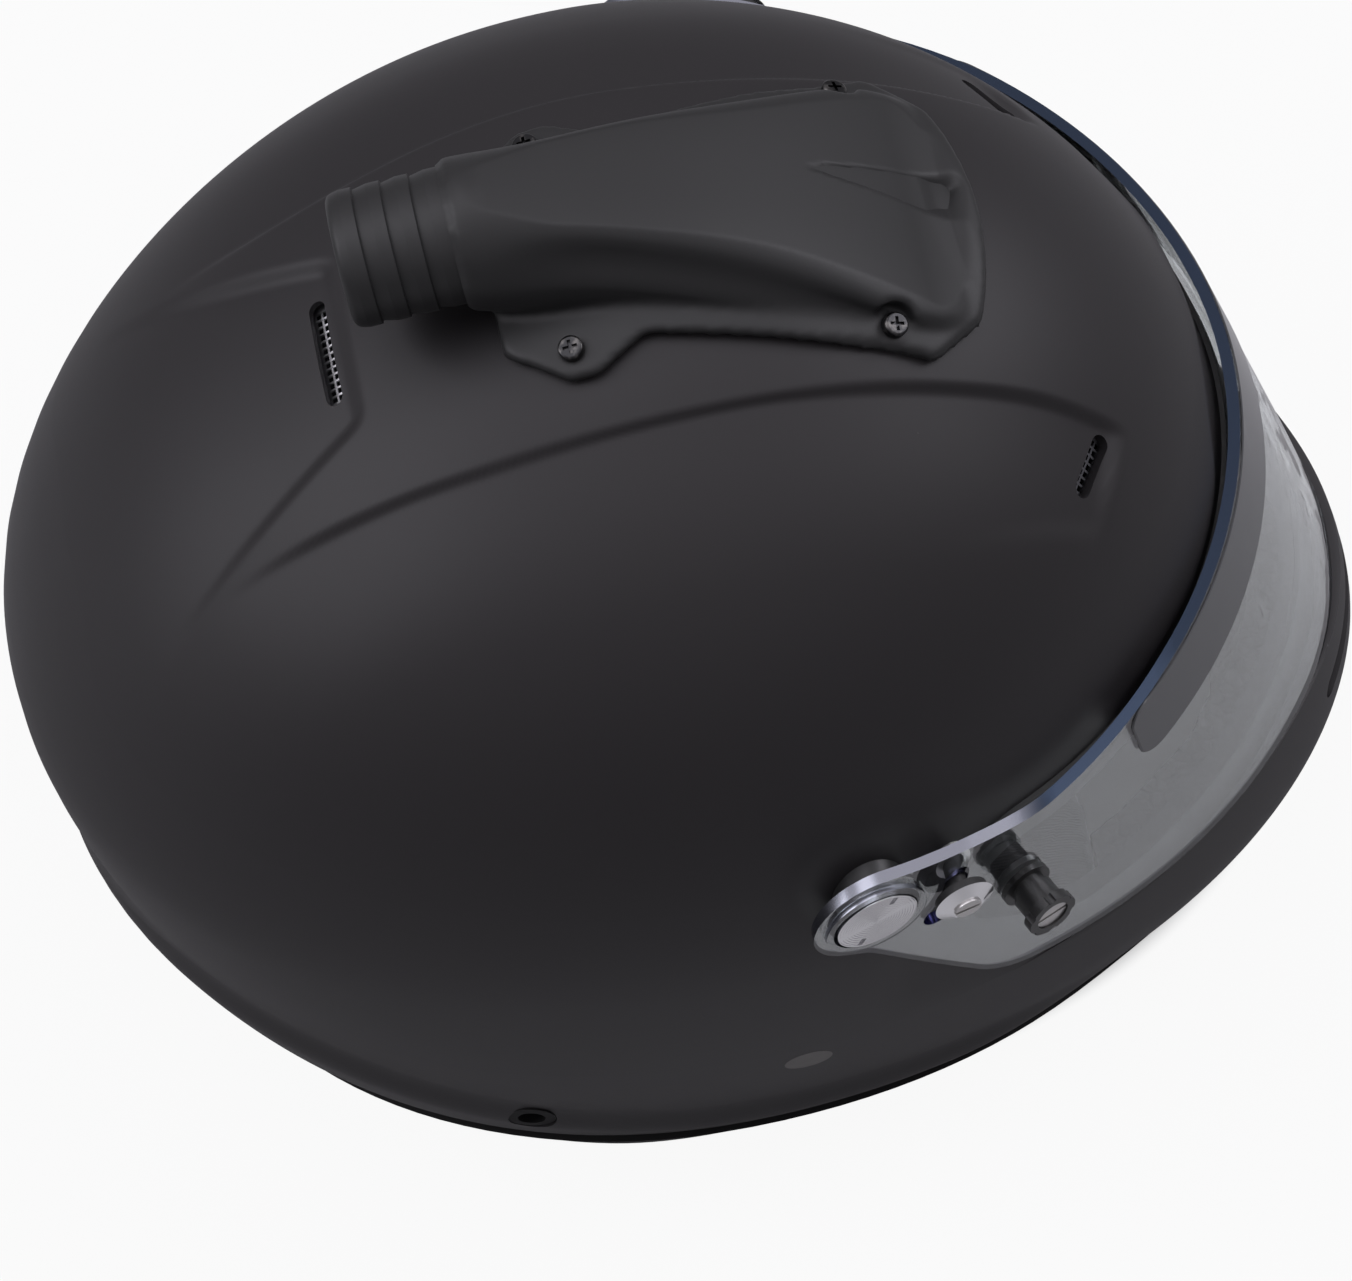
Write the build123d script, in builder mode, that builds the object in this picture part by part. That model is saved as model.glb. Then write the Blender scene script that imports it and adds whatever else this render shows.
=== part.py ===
from build123d import *

import math
import os

os.makedirs("parts", exist_ok=True)

# An auto racing helmet, in millimetres. The wearer looks along -Y, the wearer's left is +X and
# up is +Z. Everything is drawn about the crown's axis, with its lower edge on Z = 0, and is moved
# along Y as it is written, so that the origin is under the middle of the finished helmet.

# Outer form of the shell: sizes at the belt, the widest level, and how it closes at the crown
belt_height = 128.0
crown_height = 265.0
belt_half_width = 130.5
belt_rear = 165.0
brow_reach = 145.0
brow_height = 185.0
chin_reach = 182.5
chin_height = 50.0
chin_tuck = 19.5
side_arch_power = 2.0
rear_arch_power = 1.63
brow_arch_power = 2.09
chin_blend_power = 1.35
side_tuck_share = 0.217
side_tuck_power = 2.256
rear_tuck_share = 0.218
rear_tuck_power = 1.618
plan_rear_power = 2.10
plan_front_power = 1.93
ring_points = 28
lower_rings = 13
form_foot = -12.0
crown_ring_shares = (0, 0.16, 0.32, 0.47, 0.61, 0.73, 0.83, 0.905, 0.955, 0.982, 0.995)

# Flared skirt at the sides and rear, under a crease that climbs towards the rear
flare_width = 3.8
flare_blend = 14.0
flare_front = -110.0
flare_run = 60.0
crease_low = 37.5
crease_rise = 51.2
crease_front = -20.0
crease_run = 185.0
crease_power = 1.2

# General fits
overrun = 6.0
seat_gap = 0.3
bolt_gap = 0.05

# Shell
shell_wall = 4.0
shell_foot = 1.6

# Visor: a single curved screen, with flat ears that turn on the pivots
visor_wall = 3.0
visor_half_width = 134.4
visor_reach = 144.4
visor_top = 171.0
visor_slope_share = 0.3226
visor_plan_power = 1.93
visor_points = 24
ear_slope_share = 0.23
ear_tail = 20.0
pivot_y = -27.0
pivot_z = 159.0
visor_run = 150.0
visor_drop = 84.0
ear_radius = 15.4
ear_corner = 9.0
brow_corner = 60.0
cheek_corner = 26.0
jaw_corner = 40.0
chin_corner = 12.0
# Forward and upward places of the top edge, as shares of visor_run and ear_radius
top_edge_shares = ((0.54, 0.682), (0.287, 0.408), (0.16, 0.714))
# Forward and downward places of the lower edge, as shares of visor_run and visor_drop
low_edge_shares = ((-0.009, 0.205), (0.22, 0.705), (0.82, 0.90), (0.955, 0.985))

# Recess that the visor closes over, and the eye port inside it
recess_side = 4.9
recess_depth = 7.0
recess_rear = -30.0
lip_centre = 180.0
lip_side = 166.0
sill_centre = 73.0
sill_side = 89.0
# Half-widths and heights of the lip, as shares of the belt and of the centre's rise over the sides
lip_shares = ((0.107, 1.0), (0.207, 0.79), (0.314, 0.32), (0.406, 0.14), (0.52, 0.0), (0.63, 0.0))
sill_shares = ((0.11, 0.03), (0.26, 0.16), (0.34, 0.32), (0.43, 0.46), (0.57, 0.58), (0.73, 0.72))
port_high = 156.0
port_rear = -50.0
port_side_low = 131.0
port_cheek_y = -80.0
port_cheek_z = 103.5
port_chin_z = 91.0
port_corner = 16.0
gasket_band = 5.0
gasket_lip = 1.0
gasket_rise = 1.2

# Edge trim round the neck opening
trim_height = 9.0
trim_wall = 1.8

# Linings
liner_gap = 0.3
liner_wall = 30.0
liner_side_low = 118.0
liner_rear_low = 62.0
liner_brow_low = 160.0
liner_brow_y = -58.0
liner_rear_y = 42.0
liner_corner = 10.0
comfort_wall = 9.0
comfort_low = 122.0
chin_liner_wall = 20.0
chin_liner_low = 9.5
chin_liner_high = 78.0
chin_liner_half = 96.0
pad_shell_gap = 5.2
pad_face_half = 66.0
pad_front = -92.0
pad_rear = 36.0
pad_low = 35.0
pad_shelf = 88.0
pad_corner = 16.0
face_reach = 118.0
neck_reach = 92.0
roll_low = 18.0
roll_wall = 20.0
roll_front = 42.0

# Vent slots through the shell, with wire mesh behind them
mesh_wall = 0.5
mesh_pitch = 1.95
mesh_wire = 0.55
mesh_margin = 2.0
brow_slot_x = 54.5
brow_slot_y = -97.5
brow_slot_turn = 28.0
brow_slot_length = 17.0
brow_slot_width = 5.0
rear_slot_y = 75.5
rear_slot_length = 29.0
rear_slot_width = 4.5
chin_slot_z = 62.0
chin_slot_length = 96.0
chin_slot_width = 7.0

# Pivot of the visor
pivot_radius = 10.3
pivot_gap = 0.4
pivot_disc_wall = 3.0
pivot_proud = 1.5
pivot_hub_radius = 7.0
pivot_base_radius = 9.0
pivot_base_drop = 5.4
pivot_stud_radius = 4.0
pivot_stud_length = 14.6
pivot_notch_place = 8.3
pivot_notch_length = 2.6
pivot_notch_width = 1.4
pivot_notch_depth = 0.9
pivot_nut_radius = 7.5
boss_wall = 2.3
boss_rise = 1.2

# Friction hardware in the curved slot of each ear
track_radius = 20.6
track_width = 6.5
track_start = 3.0
track_end = 41.0
tension_angle = 4.0
tension_rise = 2.4
rubber_radius = 6.6
rubber_wall = 2.3
cup_radius = 7.5
cup_wall = 1.7
cup_face_radius = 4.2
cup_screw_radius = 3.4
cup_screw_wall = 1.2
driver_slot_width = 0.9
driver_slot_depth = 0.6
rubber_neck_radius = 2.7
tension_shank_radius = 1.9
tension_insert_radius = 4.5
tension_insert_length = 7.0

# Posts for tear-off films on the visor
post_y = -65.8
post_z = 138.4
post_flange_radius = 6.6
post_flange_wall = 1.6
post_neck_radius = 4.6
post_neck_length = 2.0
post_barrel_radius = 5.3
post_barrel_length = 5.6
post_rim_radius = 6.6
post_rim_length = 2.6
post_rim_lobes = 6
post_rim_notch = 1.3
post_bore_radius = 4.4
post_bore_depth = 1.4
post_screw_radius = 4.3
post_screw_wall = 0.9
post_shank_radius = 1.5
post_stud_radius = 2.5
post_nut_radius = 6.0
post_nut_wall = 1.6

# Tinted strip across the top of the visor
strip_wall = 0.4
strip_bond = 0.05
strip_high = 168.5
strip_low = 147.0
strip_half = 99.0
strip_corner = 5.0

# Air inlet on the crown
duct_gasket_wall = 1.0
duct_gasket_margin = 1.5
flange_wall = 3.0
flange_corner = 3.5
duct_half = 40.0
duct_front = -82.3
duct_shoulder_y = 41.0
duct_shoulder_z = 276.3
duct_shoulder_radius = 17.5
duct_wall = 2.4
duct_points = 24
# Half-widths and lengths of the flange's edge, as shares of duct_half and of the flange's length
duct_edge_shares = (
    (0.75, 0.06), (1.0, 0.172), (0.70, 0.725), (0.875, 0.83), (0.865, 0.885), (0.60, 1.0), (0.3, 1.0)
)
flange_rear = 34.8
# Place along the duct, half-width, middle's height, top's height and roundness: the first four are
# shares of the duct's length, of what it narrows by, and of how far its middle and its top climb
duct_station_shares = (
    (0.0, 0.12, 0.0, 0.0, 2.0), (0.05, 0.72, 0.12, 0.09, 2.1), (0.15, 0.93, 0.33, 0.30, 2.2),
    (0.322, 0.77, 0.55, 0.575, 2.4),
    (0.496, 0.52, 0.68, 0.775, 2.5), (0.661, 0.27, 0.775, 0.90, 2.6), (0.826, 0.09, 0.87, 0.972, 2.3),
    (1.0, 0.0, 1.0, 1.0, 2.0)
)
duct_front_y = -78.5
duct_front_z = 244.0
duct_front_top = 247.4
duct_widening = 17.0
spigot_length = 26.5
spigot_tilt = 5.0
spigot_barb = 15.9
spigot_root = 15.2
spigot_bore = 12.9
spigot_rim_round = 2.2
spigot_barbs = 4
spigot_barb_edge = 0.35
spigot_land = 3.0
duct_screw_radius = 2.95
duct_screw_head = 2.2
duct_screw_round = 0.7
duct_shank_radius = 1.5
duct_pocket_radius = 4.6
duct_insert_radius = 3.2
duct_front_screw_x = 32.0
duct_front_screw_y = -52.5
duct_rear_screw_x = 27.5
duct_rear_screw_y = 19.0
cross_width = 0.8
cross_length = 3.4
cross_depth = 0.9
inlet_radius = 9.0
inlet_x = 13.0
inlet_y = -36.0

# Anchors for the head restraint and the chin strap
restraint_y = 58.9
restraint_z = 44.7
restraint_radius = 6.2
restraint_thread_radius = 3.0
restraint_lead_radius = 3.5
restraint_lead_depth = 6.6
restraint_depth = 11.9
restraint_backing_radius = 9.0
restraint_backing_depth = 7.4
restraint_end_wall = 0.8
anchor_y = -10.9
anchor_z = 74.4
anchor_radius = 6.2
anchor_cap_wall = 1.2
anchor_shank_radius = 3.0
anchor_head_radius = 8.0
anchor_head_wall = 1.1
anchor_hole_radius = 3.2

# Chin strap and its two rings
strap_height_shares = (1.16, 0.8, 0.62, 0.46)
strap_width = 25.0
strap_wall = 1.6
strap_inset = 6.6
strap_bend = 5.0
strap_fold = 3.1
ring_wire_radius = 2.0
ring_half = 17.0
ring_corner = 4.0
ring_clearance = 0.4
ring_spacing = 4.6
ring_x = 44.0
ring_z = 27.0
strap_turn_x = 101.0
strap_turn_z = 28.5
strap_flat_x = 84.0
strap_sewn_length = 24.0
strap_low_x = 75.0
strap_low_z = 16.0
strap_rest_x = 30.0
strap_rest_z = 4.4
strap_end_x = -26.0
strap_end_z = 3.4
strap_tail_x = 35.0


def smooth(share):
    """An even step from 0 to 1 with level ends."""
    share = min(max(share, 0), 1)
    return share * share * (3 - 2 * share)


def arch(height, top, power):
    """Share of the belt's size that is left at a height between the belt and the crown."""
    share = min((height - belt_height) / (top - belt_height), 1)
    return (1 - share**power) ** (1 / power)


def tuck(height, tuck_share, power):
    """Share of the belt's size that is left at a height below the belt."""
    return 1 - tuck_share * ((belt_height - height) / belt_height) ** power


def half_width(height, inset):
    if height >= belt_height:
        return (belt_half_width - inset) * arch(height, crown_height - inset, side_arch_power)
    return belt_half_width * tuck(height, side_tuck_share, side_tuck_power) - inset


def rear_length(height, inset):
    if height >= belt_height:
        return (belt_rear - inset) * arch(height, crown_height - inset, rear_arch_power)
    return belt_rear * tuck(height, rear_tuck_share, rear_tuck_power) - inset


def front_length(height, inset):
    if height >= brow_height:
        return (brow_reach - inset) * arch(height, crown_height - inset, brow_arch_power)
    if height <= chin_height:
        return chin_reach - inset - chin_tuck * ((chin_height - height) / chin_height) ** 2
    brow = (brow_reach - inset) * arch(brow_height, crown_height - inset, brow_arch_power)
    chin = chin_reach - inset
    climb = (height - chin_height) / (brow_height - chin_height)
    return chin + (brow - chin) * climb**chin_blend_power


def flare(y, height):
    """How far the skirt stands out from the plain form."""
    crease = crease_low + crease_rise * smooth((y - crease_front) / crease_run) ** crease_power
    fade = smooth((y - flare_front) / flare_run)
    return flare_width * smooth((crease - height) / flare_blend) * fade


def form_ring(height, inset):
    """Points of the form at a height: two half superellipses, starting at the rear."""
    points = []
    for index in range(ring_points):
        turn = 2 * math.pi * index / ring_points
        across = math.sin(turn)
        along = math.cos(turn)
        power = plan_rear_power if along > 0 else plan_front_power
        length = rear_length(height, inset) if along > 0 else front_length(height, inset)
        x = half_width(height, inset) * math.copysign(abs(across) ** (2 / power), across)
        y = length * math.copysign(abs(along) ** (2 / power), along)
        grow = 1 + flare(y, height) / math.hypot(x, y)
        points.append((x * grow, y * grow))
    return points


def closed_curve(points):
    """A smooth closed curve whose points are evenly spaced in its parameter."""
    steps = [index / len(points) for index in range(len(points) + 1)]
    return Edge.make_spline([Vector(*point) for point in points], periodic=True, parameters=steps)


def head_form(inset):
    """The helmet's form, drawn in by an inset, as a solid from under the ground to the crown."""
    skirt = belt_height - form_foot
    low = [form_foot + skirt * index / lower_rings for index in range(lower_rings)]
    rise = crown_height - inset - belt_height
    high = [belt_height + rise * share for share in crown_ring_shares]
    with BuildPart() as form:
        for height in low + high:
            with BuildSketch(Plane.XY.offset(height)):
                with BuildLine():
                    add(closed_curve(form_ring(height, inset)))
                make_face()
        loft()
    return form.part


def form_level(point, inset):
    """Below zero inside the form, above zero outside it."""
    length = math.hypot(point.X, point.Y)
    shrink = 1 - flare(point.Y, point.Z) / max(length, seat_gap)
    power = plan_rear_power if point.Y > 0 else plan_front_power
    reach = rear_length(point.Z, inset) if point.Y > 0 else front_length(point.Z, inset)
    width = half_width(point.Z, inset)
    if width <= 0 or reach <= 0:
        return 1
    return (abs(point.X) * shrink / width) ** power + (abs(point.Y) * shrink / reach) ** power - 1


def form_point(start, direction, inset=0.0):
    """Where a ray from inside the form leaves it."""
    near = 0.0
    far = 2 * chin_reach
    for _ in range(48):
        middle = (near + far) / 2
        if form_level(start + direction * middle, inset) < 0:
            near = middle
        else:
            far = middle
    return start + direction * near


def form_normal(point):
    """The direction square to the form at a point of it."""
    step = seat_gap / 3
    steps = (Vector(step, 0, 0), Vector(0, step, 0), Vector(0, 0, step))
    rise = [form_level(point + move, 0) - form_level(point - move, 0) for move in steps]
    return Vector(*rise).normalized()


def side_plane(y, z):
    """A plane on the form's left side, facing out, with its X rearward."""
    point = form_point(Vector(0, y, z), Vector(1, 0, 0))
    return Plane(point, x_dir=(0, 1, 0), z_dir=form_normal(point))


def crown_plane(x, y, turn=0.0):
    """A plane on top of the form, facing out, with its X across the helmet, turned about up."""
    point = form_point(Vector(x, y, belt_height), Vector(0, 0, 1))
    across = Vector(1, 0, 0).rotate(Axis.Z, turn)
    return Plane(point, x_dir=across, z_dir=form_normal(point))


def mirrored(part):
    return mirror(part, about=Plane.YZ, mode=Mode.PRIVATE)


def hand_in(part, name):
    """Moves a piece to the finished frame and writes it."""
    placed = Pos(0, (chin_reach - belt_rear) / 2, 0) * part
    placed.label = name
    export_step(placed, f"parts/{name}.step")


def hand_in_pair(part, name):
    """Writes a piece of the left side and its mirror image."""
    hand_in(part, f"{name}_left")
    hand_in(mirrored(part), f"{name}_right")


def round_bar(plane, radius, start, length):
    """A cylinder along a plane's normal, from a distance in front of the plane."""
    with BuildPart() as bar:
        with BuildSketch(plane.offset(start)):
            Circle(radius)
        extrude(amount=length)
    return bar.part


def long_bar(plane, length, width, start, depth):
    """A bar of slot-shaped section along a plane's normal."""
    with BuildPart() as bar:
        with BuildSketch(plane.offset(start)):
            SlotOverall(length, width)
        extrude(amount=depth)
    return bar.part


# Side-view and front-view outlines, as solids that run through the helmet
def port_block(grow):
    """The eye port, grown on every side."""
    front = -(chin_reach + 2 * overrun)
    with BuildPart() as block:
        with BuildSketch(Plane.YZ):
            with BuildLine():
                FilletPolyline(
                    (front, port_high),
                    (port_rear, port_high),
                    (port_rear, port_side_low),
                    (port_cheek_y, port_cheek_z),
                    (front, port_chin_z),
                    radius=port_corner,
                )
                Line((front, port_chin_z), (front, port_high))
            make_face()
            offset(amount=grow)
        extrude(amount=belt_half_width + overrun, both=True)
    return block.part


def recess_block(grow):
    """The front of the helmet between the brow's lip and the chin's sill, grown up and down."""
    edge = visor_half_width + overrun
    lip = [
        (belt_half_width * across, lip_side + (lip_centre - lip_side) * rise + grow)
        for across, rise in lip_shares
    ]
    sill = [
        (belt_half_width * across, sill_centre + (sill_side - sill_centre) * rise - grow)
        for across, rise in sill_shares
    ]
    top = [(-x, z) for x, z in reversed(lip)] + lip
    bottom = [(-x, z) for x, z in reversed(sill)] + sill
    with BuildPart() as block:
        with BuildSketch(Plane.XZ.offset(-recess_rear - grow)):
            with BuildLine():
                Polyline((-edge, bottom[0][1]), (-edge, top[0][1]), top[0])
                Spline(*top)
                Polyline(top[-1], (edge, top[-1][1]), (edge, bottom[-1][1]), bottom[-1])
                Spline(*bottom)
                Line(bottom[0], (-edge, bottom[0][1]))
            make_face()
        extrude(amount=chin_reach + overrun + recess_rear + grow)
    return block.part


def screen_length(height, depth):
    return visor_reach + (visor_top - height) * visor_slope_share - depth


def ear_touch(height, side, depth):
    """Where the visor's curve runs into its straight ear, in plan on the left."""
    length = screen_length(height, depth)
    width = visor_half_width - side
    ease = 2 - 2 / visor_plan_power
    turn = math.atan2(1, (ear_slope_share * length / width) ** (1 / ease))
    x = width * math.sin(turn) ** (2 / visor_plan_power)
    y = -length * math.cos(turn) ** (2 / visor_plan_power)
    return turn, x, y


def ear_x(y, height, side, depth):
    """Half-width of the ear at a place along it."""
    _, x, start = ear_touch(height, side, depth)
    return x + (y - start) * ear_slope_share


def screen_block(side, depth, bottom, top, tail):
    """The space behind a curved screen that stands back from the visor's outer face."""
    with BuildPart() as block:
        for height in (bottom, top):
            turn, x, y = ear_touch(height, side, depth)
            width = visor_half_width - side
            length = screen_length(height, depth)
            points = []
            for index in range(visor_points + 1):
                angle = turn * (2 * index / visor_points - 1)
                across = math.copysign(abs(math.sin(angle)) ** (2 / visor_plan_power), angle)
                points.append(Vector(width * across, -length * math.cos(angle) ** (2 / visor_plan_power)))
            end = (ear_x(tail, height, side, depth), tail)
            steps = [index / visor_points for index in range(visor_points + 1)]
            fade = math.cos(turn) ** (2 / visor_plan_power - 1)
            speed = 2 * turn * length * 2 / visor_plan_power * fade * math.sin(turn)
            tangents = [Vector(ear_slope_share, -1) * speed, Vector(ear_slope_share, 1) * speed]
            curve = Edge.make_spline(points, tangents=tangents, parameters=steps, scale=False)
            with BuildSketch(Plane.XY.offset(height)):
                with BuildLine():
                    Line((-end[0], end[1]), (-x, y))
                    add(curve)
                    Line((x, y), end)
                    Line(end, (-end[0], end[1]))
                make_face()
        loft(ruled=True)
    return block.part


# Forms that the pieces share
outer_form = head_form(0)
inner_form = head_form(shell_wall)
screen_low = sill_centre - overrun
screen_high = lip_centre + overrun
recess_floor = screen_block(recess_side, recess_depth, screen_low, screen_high, ear_tail)
recess_back = screen_block(
    recess_side + shell_wall, recess_depth + shell_wall, screen_low, screen_high, ear_tail
)
recess_cut = recess_block(0) - recess_floor
recess_keep = recess_block(shell_wall) - recess_back
port_cut = port_block(0)

# Places of the hardware
brow_slot_plane = crown_plane(brow_slot_x, brow_slot_y, brow_slot_turn)
rear_slot_plane = crown_plane(0, rear_slot_y)
chin_slot_point = form_point(Vector(0, 0, chin_slot_z), Vector(0, -1, 0))
chin_slot_plane = Plane(chin_slot_point, x_dir=(1, 0, 0), z_dir=(0, -1, 0))
ear_normal = Vector(1, -ear_slope_share, 0).normalized()
pivot_x = ear_x(pivot_y, pivot_z, 0, 0)
pivot_plane = Plane((pivot_x, pivot_y, pivot_z), x_dir=(0, 0, 1), z_dir=ear_normal)
pivot_axis_plane = Plane((pivot_x, pivot_y, pivot_z), x_dir=(0, -1, 0), z_dir=(1, 0, 0))
pivot_hollow = pivot_radius + pivot_gap
tension_y = pivot_y - track_radius * math.cos(math.radians(tension_angle))
tension_z = pivot_z - track_radius * math.sin(math.radians(tension_angle))
tension_x = ear_x(tension_y, tension_z, 0, 0)
tension_plane = Plane((tension_x, tension_y, tension_z), x_dir=(0, 0, 1), z_dir=ear_normal)
tension_axis_plane = Plane((tension_x, tension_y, tension_z), x_dir=(0, -1, 0), z_dir=(1, 0, 0))
restraint_plane = side_plane(restraint_y, restraint_z)
anchor_plane = side_plane(anchor_y, anchor_z)
inlet_plane = crown_plane(inlet_x, inlet_y)
duct_screw_planes = [
    crown_plane(side * x, y)
    for x, y in (
        (duct_front_screw_x, duct_front_screw_y),
        (duct_rear_screw_x, duct_rear_screw_y),
    )
    for side in (1, -1)
]


# Tools that cut the shell
slot_depth = 3 * shell_wall
chin_slot_depth = 6 * shell_wall
brow_slot = long_bar(brow_slot_plane, brow_slot_length, brow_slot_width, -slot_depth, 2 * slot_depth)
rear_slot = long_bar(rear_slot_plane, rear_slot_length, rear_slot_width, -slot_depth, 2 * slot_depth)
chin_slot = long_bar(
    chin_slot_plane, chin_slot_length, chin_slot_width, -chin_slot_depth, chin_slot_depth + slot_depth
)
inlet_hole = round_bar(inlet_plane, inlet_radius, -slot_depth, 2 * slot_depth)
side_holes = [
    round_bar(pivot_axis_plane, pivot_stud_radius + bolt_gap, -2 * slot_depth, 3 * slot_depth),
    round_bar(tension_axis_plane, tension_insert_radius, -2 * slot_depth, 3 * slot_depth),
    round_bar(restraint_plane, restraint_radius, -slot_depth, 2 * slot_depth),
    round_bar(anchor_plane, anchor_radius, -slot_depth, 2 * slot_depth),
]
duct_holes = [
    round_bar(plane, duct_insert_radius, -slot_depth, 2 * slot_depth) for plane in duct_screw_planes
]
paired_cuts = [brow_slot, inlet_hole] + side_holes
shell_cuts = paired_cuts + [mirrored(cut) for cut in paired_cuts] + [rear_slot, chin_slot] + duct_holes

# Outer shell: one laminated skin with the recess, the eye port, the vents and the bolt holes
with BuildPart() as shell_hollow:
    add(inner_form)
    add(recess_keep, mode=Mode.SUBTRACT)
with BuildPart() as outer_shell:
    add(outer_form)
    with BuildSketch(Plane.XY.offset(shell_foot)):
        Rectangle(3 * belt_half_width, 3 * chin_reach)
    extrude(amount=form_foot - overrun - shell_foot, mode=Mode.SUBTRACT)
    add(recess_cut, mode=Mode.SUBTRACT)
    add(shell_hollow.part, mode=Mode.SUBTRACT)
    add(port_cut, mode=Mode.SUBTRACT)
    for cut in shell_cuts:
        add(cut, mode=Mode.SUBTRACT)
hand_in(outer_shell.part, "outer_shell")

# Trim round the lower edge: a rubber channel that the shell's edge sits in
with BuildPart() as bottom_trim:
    add(head_form(-trim_wall))
    with BuildSketch(Plane.XY):
        Rectangle(3 * belt_half_width, 3 * chin_reach)
    extrude(amount=trim_height, mode=Mode.INTERSECT)
    add(head_form(shell_wall + trim_wall), mode=Mode.SUBTRACT)
    add(outer_shell.part, mode=Mode.SUBTRACT)
hand_in(bottom_trim.part, "bottom_trim")

# Gasket round the eye port: a lip over the shell's cut edge and a flat band that faces the visor
gasket_face = screen_block(
    recess_side - gasket_rise, recess_depth - gasket_rise, screen_low, screen_high, ear_tail
)
with BuildPart() as eyeport_gasket:
    add(port_block(gasket_band))
    add(port_block(-gasket_lip), mode=Mode.SUBTRACT)
    add(gasket_face, mode=Mode.INTERSECT)
    add(head_form(-gasket_rise), mode=Mode.INTERSECT)
    add(shell_hollow.part, mode=Mode.SUBTRACT)
    add(outer_shell.part, mode=Mode.SUBTRACT)
hand_in(eyeport_gasket.part, "eyeport_gasket")


def lining_floor(lift):
    """Everything under the linings' lower edge in side view, lifted by a little."""
    front = -(chin_reach + overrun)
    rear = belt_rear + overrun
    foot = form_foot - overrun
    brow = liner_brow_low + lift
    ear = liner_side_low + lift
    nape = liner_rear_low + lift
    with BuildPart() as floor:
        with BuildSketch(Plane.YZ):
            with BuildLine():
                FilletPolyline(
                    (front, brow),
                    (liner_brow_y, brow),
                    (liner_brow_y, ear),
                    (liner_rear_y, ear),
                    (liner_rear_y, nape),
                    (rear, nape),
                    radius=liner_corner,
                )
                Polyline((rear, nape), (rear, foot), (front, foot), (front, brow))
            make_face()
        extrude(amount=belt_half_width, both=True)
    return floor.part


def mesh_pocket(plane, length, width):
    """Room behind a vent for its mesh and for the air."""
    grow = 2 * mesh_margin + 2 * liner_gap
    return long_bar(plane, length + grow, width + grow, -2 * slot_depth, 2 * slot_depth)


# Room in the linings for the hardware behind the shell
keep_depth = recess_depth + shell_wall + liner_gap
keep_side = recess_side + shell_wall + liner_gap
lining_keep = recess_block(shell_wall + liner_gap) - screen_block(
    keep_side, keep_depth, screen_low, screen_high, ear_tail
)
paired_pockets = [
    mesh_pocket(brow_slot_plane, brow_slot_length, brow_slot_width),
    round_bar(inlet_plane, inlet_radius, -2 * liner_wall, 2 * liner_wall),
    round_bar(pivot_axis_plane, pivot_nut_radius + liner_gap, -2 * slot_depth, 2 * slot_depth),
    round_bar(tension_axis_plane, tension_insert_radius + liner_gap, -2 * slot_depth, 2 * slot_depth),
]
lining_pockets = paired_pockets + [mirrored(pocket) for pocket in paired_pockets]
lining_pockets.append(mesh_pocket(rear_slot_plane, rear_slot_length, rear_slot_width))

# Impact liner: one thick foam cap between the shell and the comfort liner
liner_inset = shell_wall + liner_gap
with BuildPart() as impact_liner:
    add(head_form(liner_inset))
    add(head_form(liner_inset + liner_wall), mode=Mode.SUBTRACT)
    add(lining_floor(0), mode=Mode.SUBTRACT)
    add(lining_keep, mode=Mode.SUBTRACT)
    for pocket in lining_pockets:
        add(pocket, mode=Mode.SUBTRACT)
hand_in(impact_liner.part, "impact_liner")

# Comfort liner: a padded cap inside the impact liner
comfort_inset = liner_inset + liner_wall + liner_gap
with BuildPart() as comfort_liner:
    add(head_form(comfort_inset))
    add(head_form(comfort_inset + comfort_wall), mode=Mode.SUBTRACT)
    add(lining_floor(comfort_low - liner_side_low), mode=Mode.SUBTRACT)
hand_in(comfort_liner.part, "comfort_liner")

# Head room between the cheek pads, straight up from the neck
with BuildPart() as face_room:
    with BuildSketch(Plane.XY.offset(-overrun)):
        with Locations((0, (neck_reach - face_reach) / 2)):
            SlotOverall(neck_reach + face_reach, 2 * pad_face_half, rotation=90)
    extrude(amount=belt_height)

anchor_pocket = round_bar(
    anchor_plane, anchor_head_radius + liner_gap, -slot_depth, slot_depth
)
# Notch for the restraint's insert, square at the top and open at the neck roll's lower edge
notch_half = restraint_backing_radius + liner_gap
with BuildPart() as restraint_notch:
    with BuildSketch(restraint_plane.offset(-slot_depth)):
        with Locations((notch_half, 0)):
            Rectangle(restraint_z + notch_half, 2 * notch_half, align=(Align.MAX, Align.CENTER))
    extrude(amount=slot_depth)

# Cheek pads: one thick pad on each side under the impact liner
pad_top = liner_side_low - liner_gap
with BuildPart() as cheek_pad:
    with BuildSketch(Plane.YZ):
        with BuildLine():
            FilletPolyline(
                (pad_front, pad_low),
                (pad_rear, pad_low),
                (pad_rear, pad_top),
                (port_rear, pad_top),
                (port_rear, pad_shelf),
                (pad_front, pad_shelf),
                radius=pad_corner / 2,
                close=True,
            )
        make_face()
    extrude(amount=belt_half_width)
    add(head_form(shell_wall + pad_shell_gap), mode=Mode.INTERSECT)
    add(face_room.part, mode=Mode.SUBTRACT)
    add(anchor_pocket, mode=Mode.SUBTRACT)
hand_in_pair(cheek_pad.part, "cheek_pad")

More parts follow.
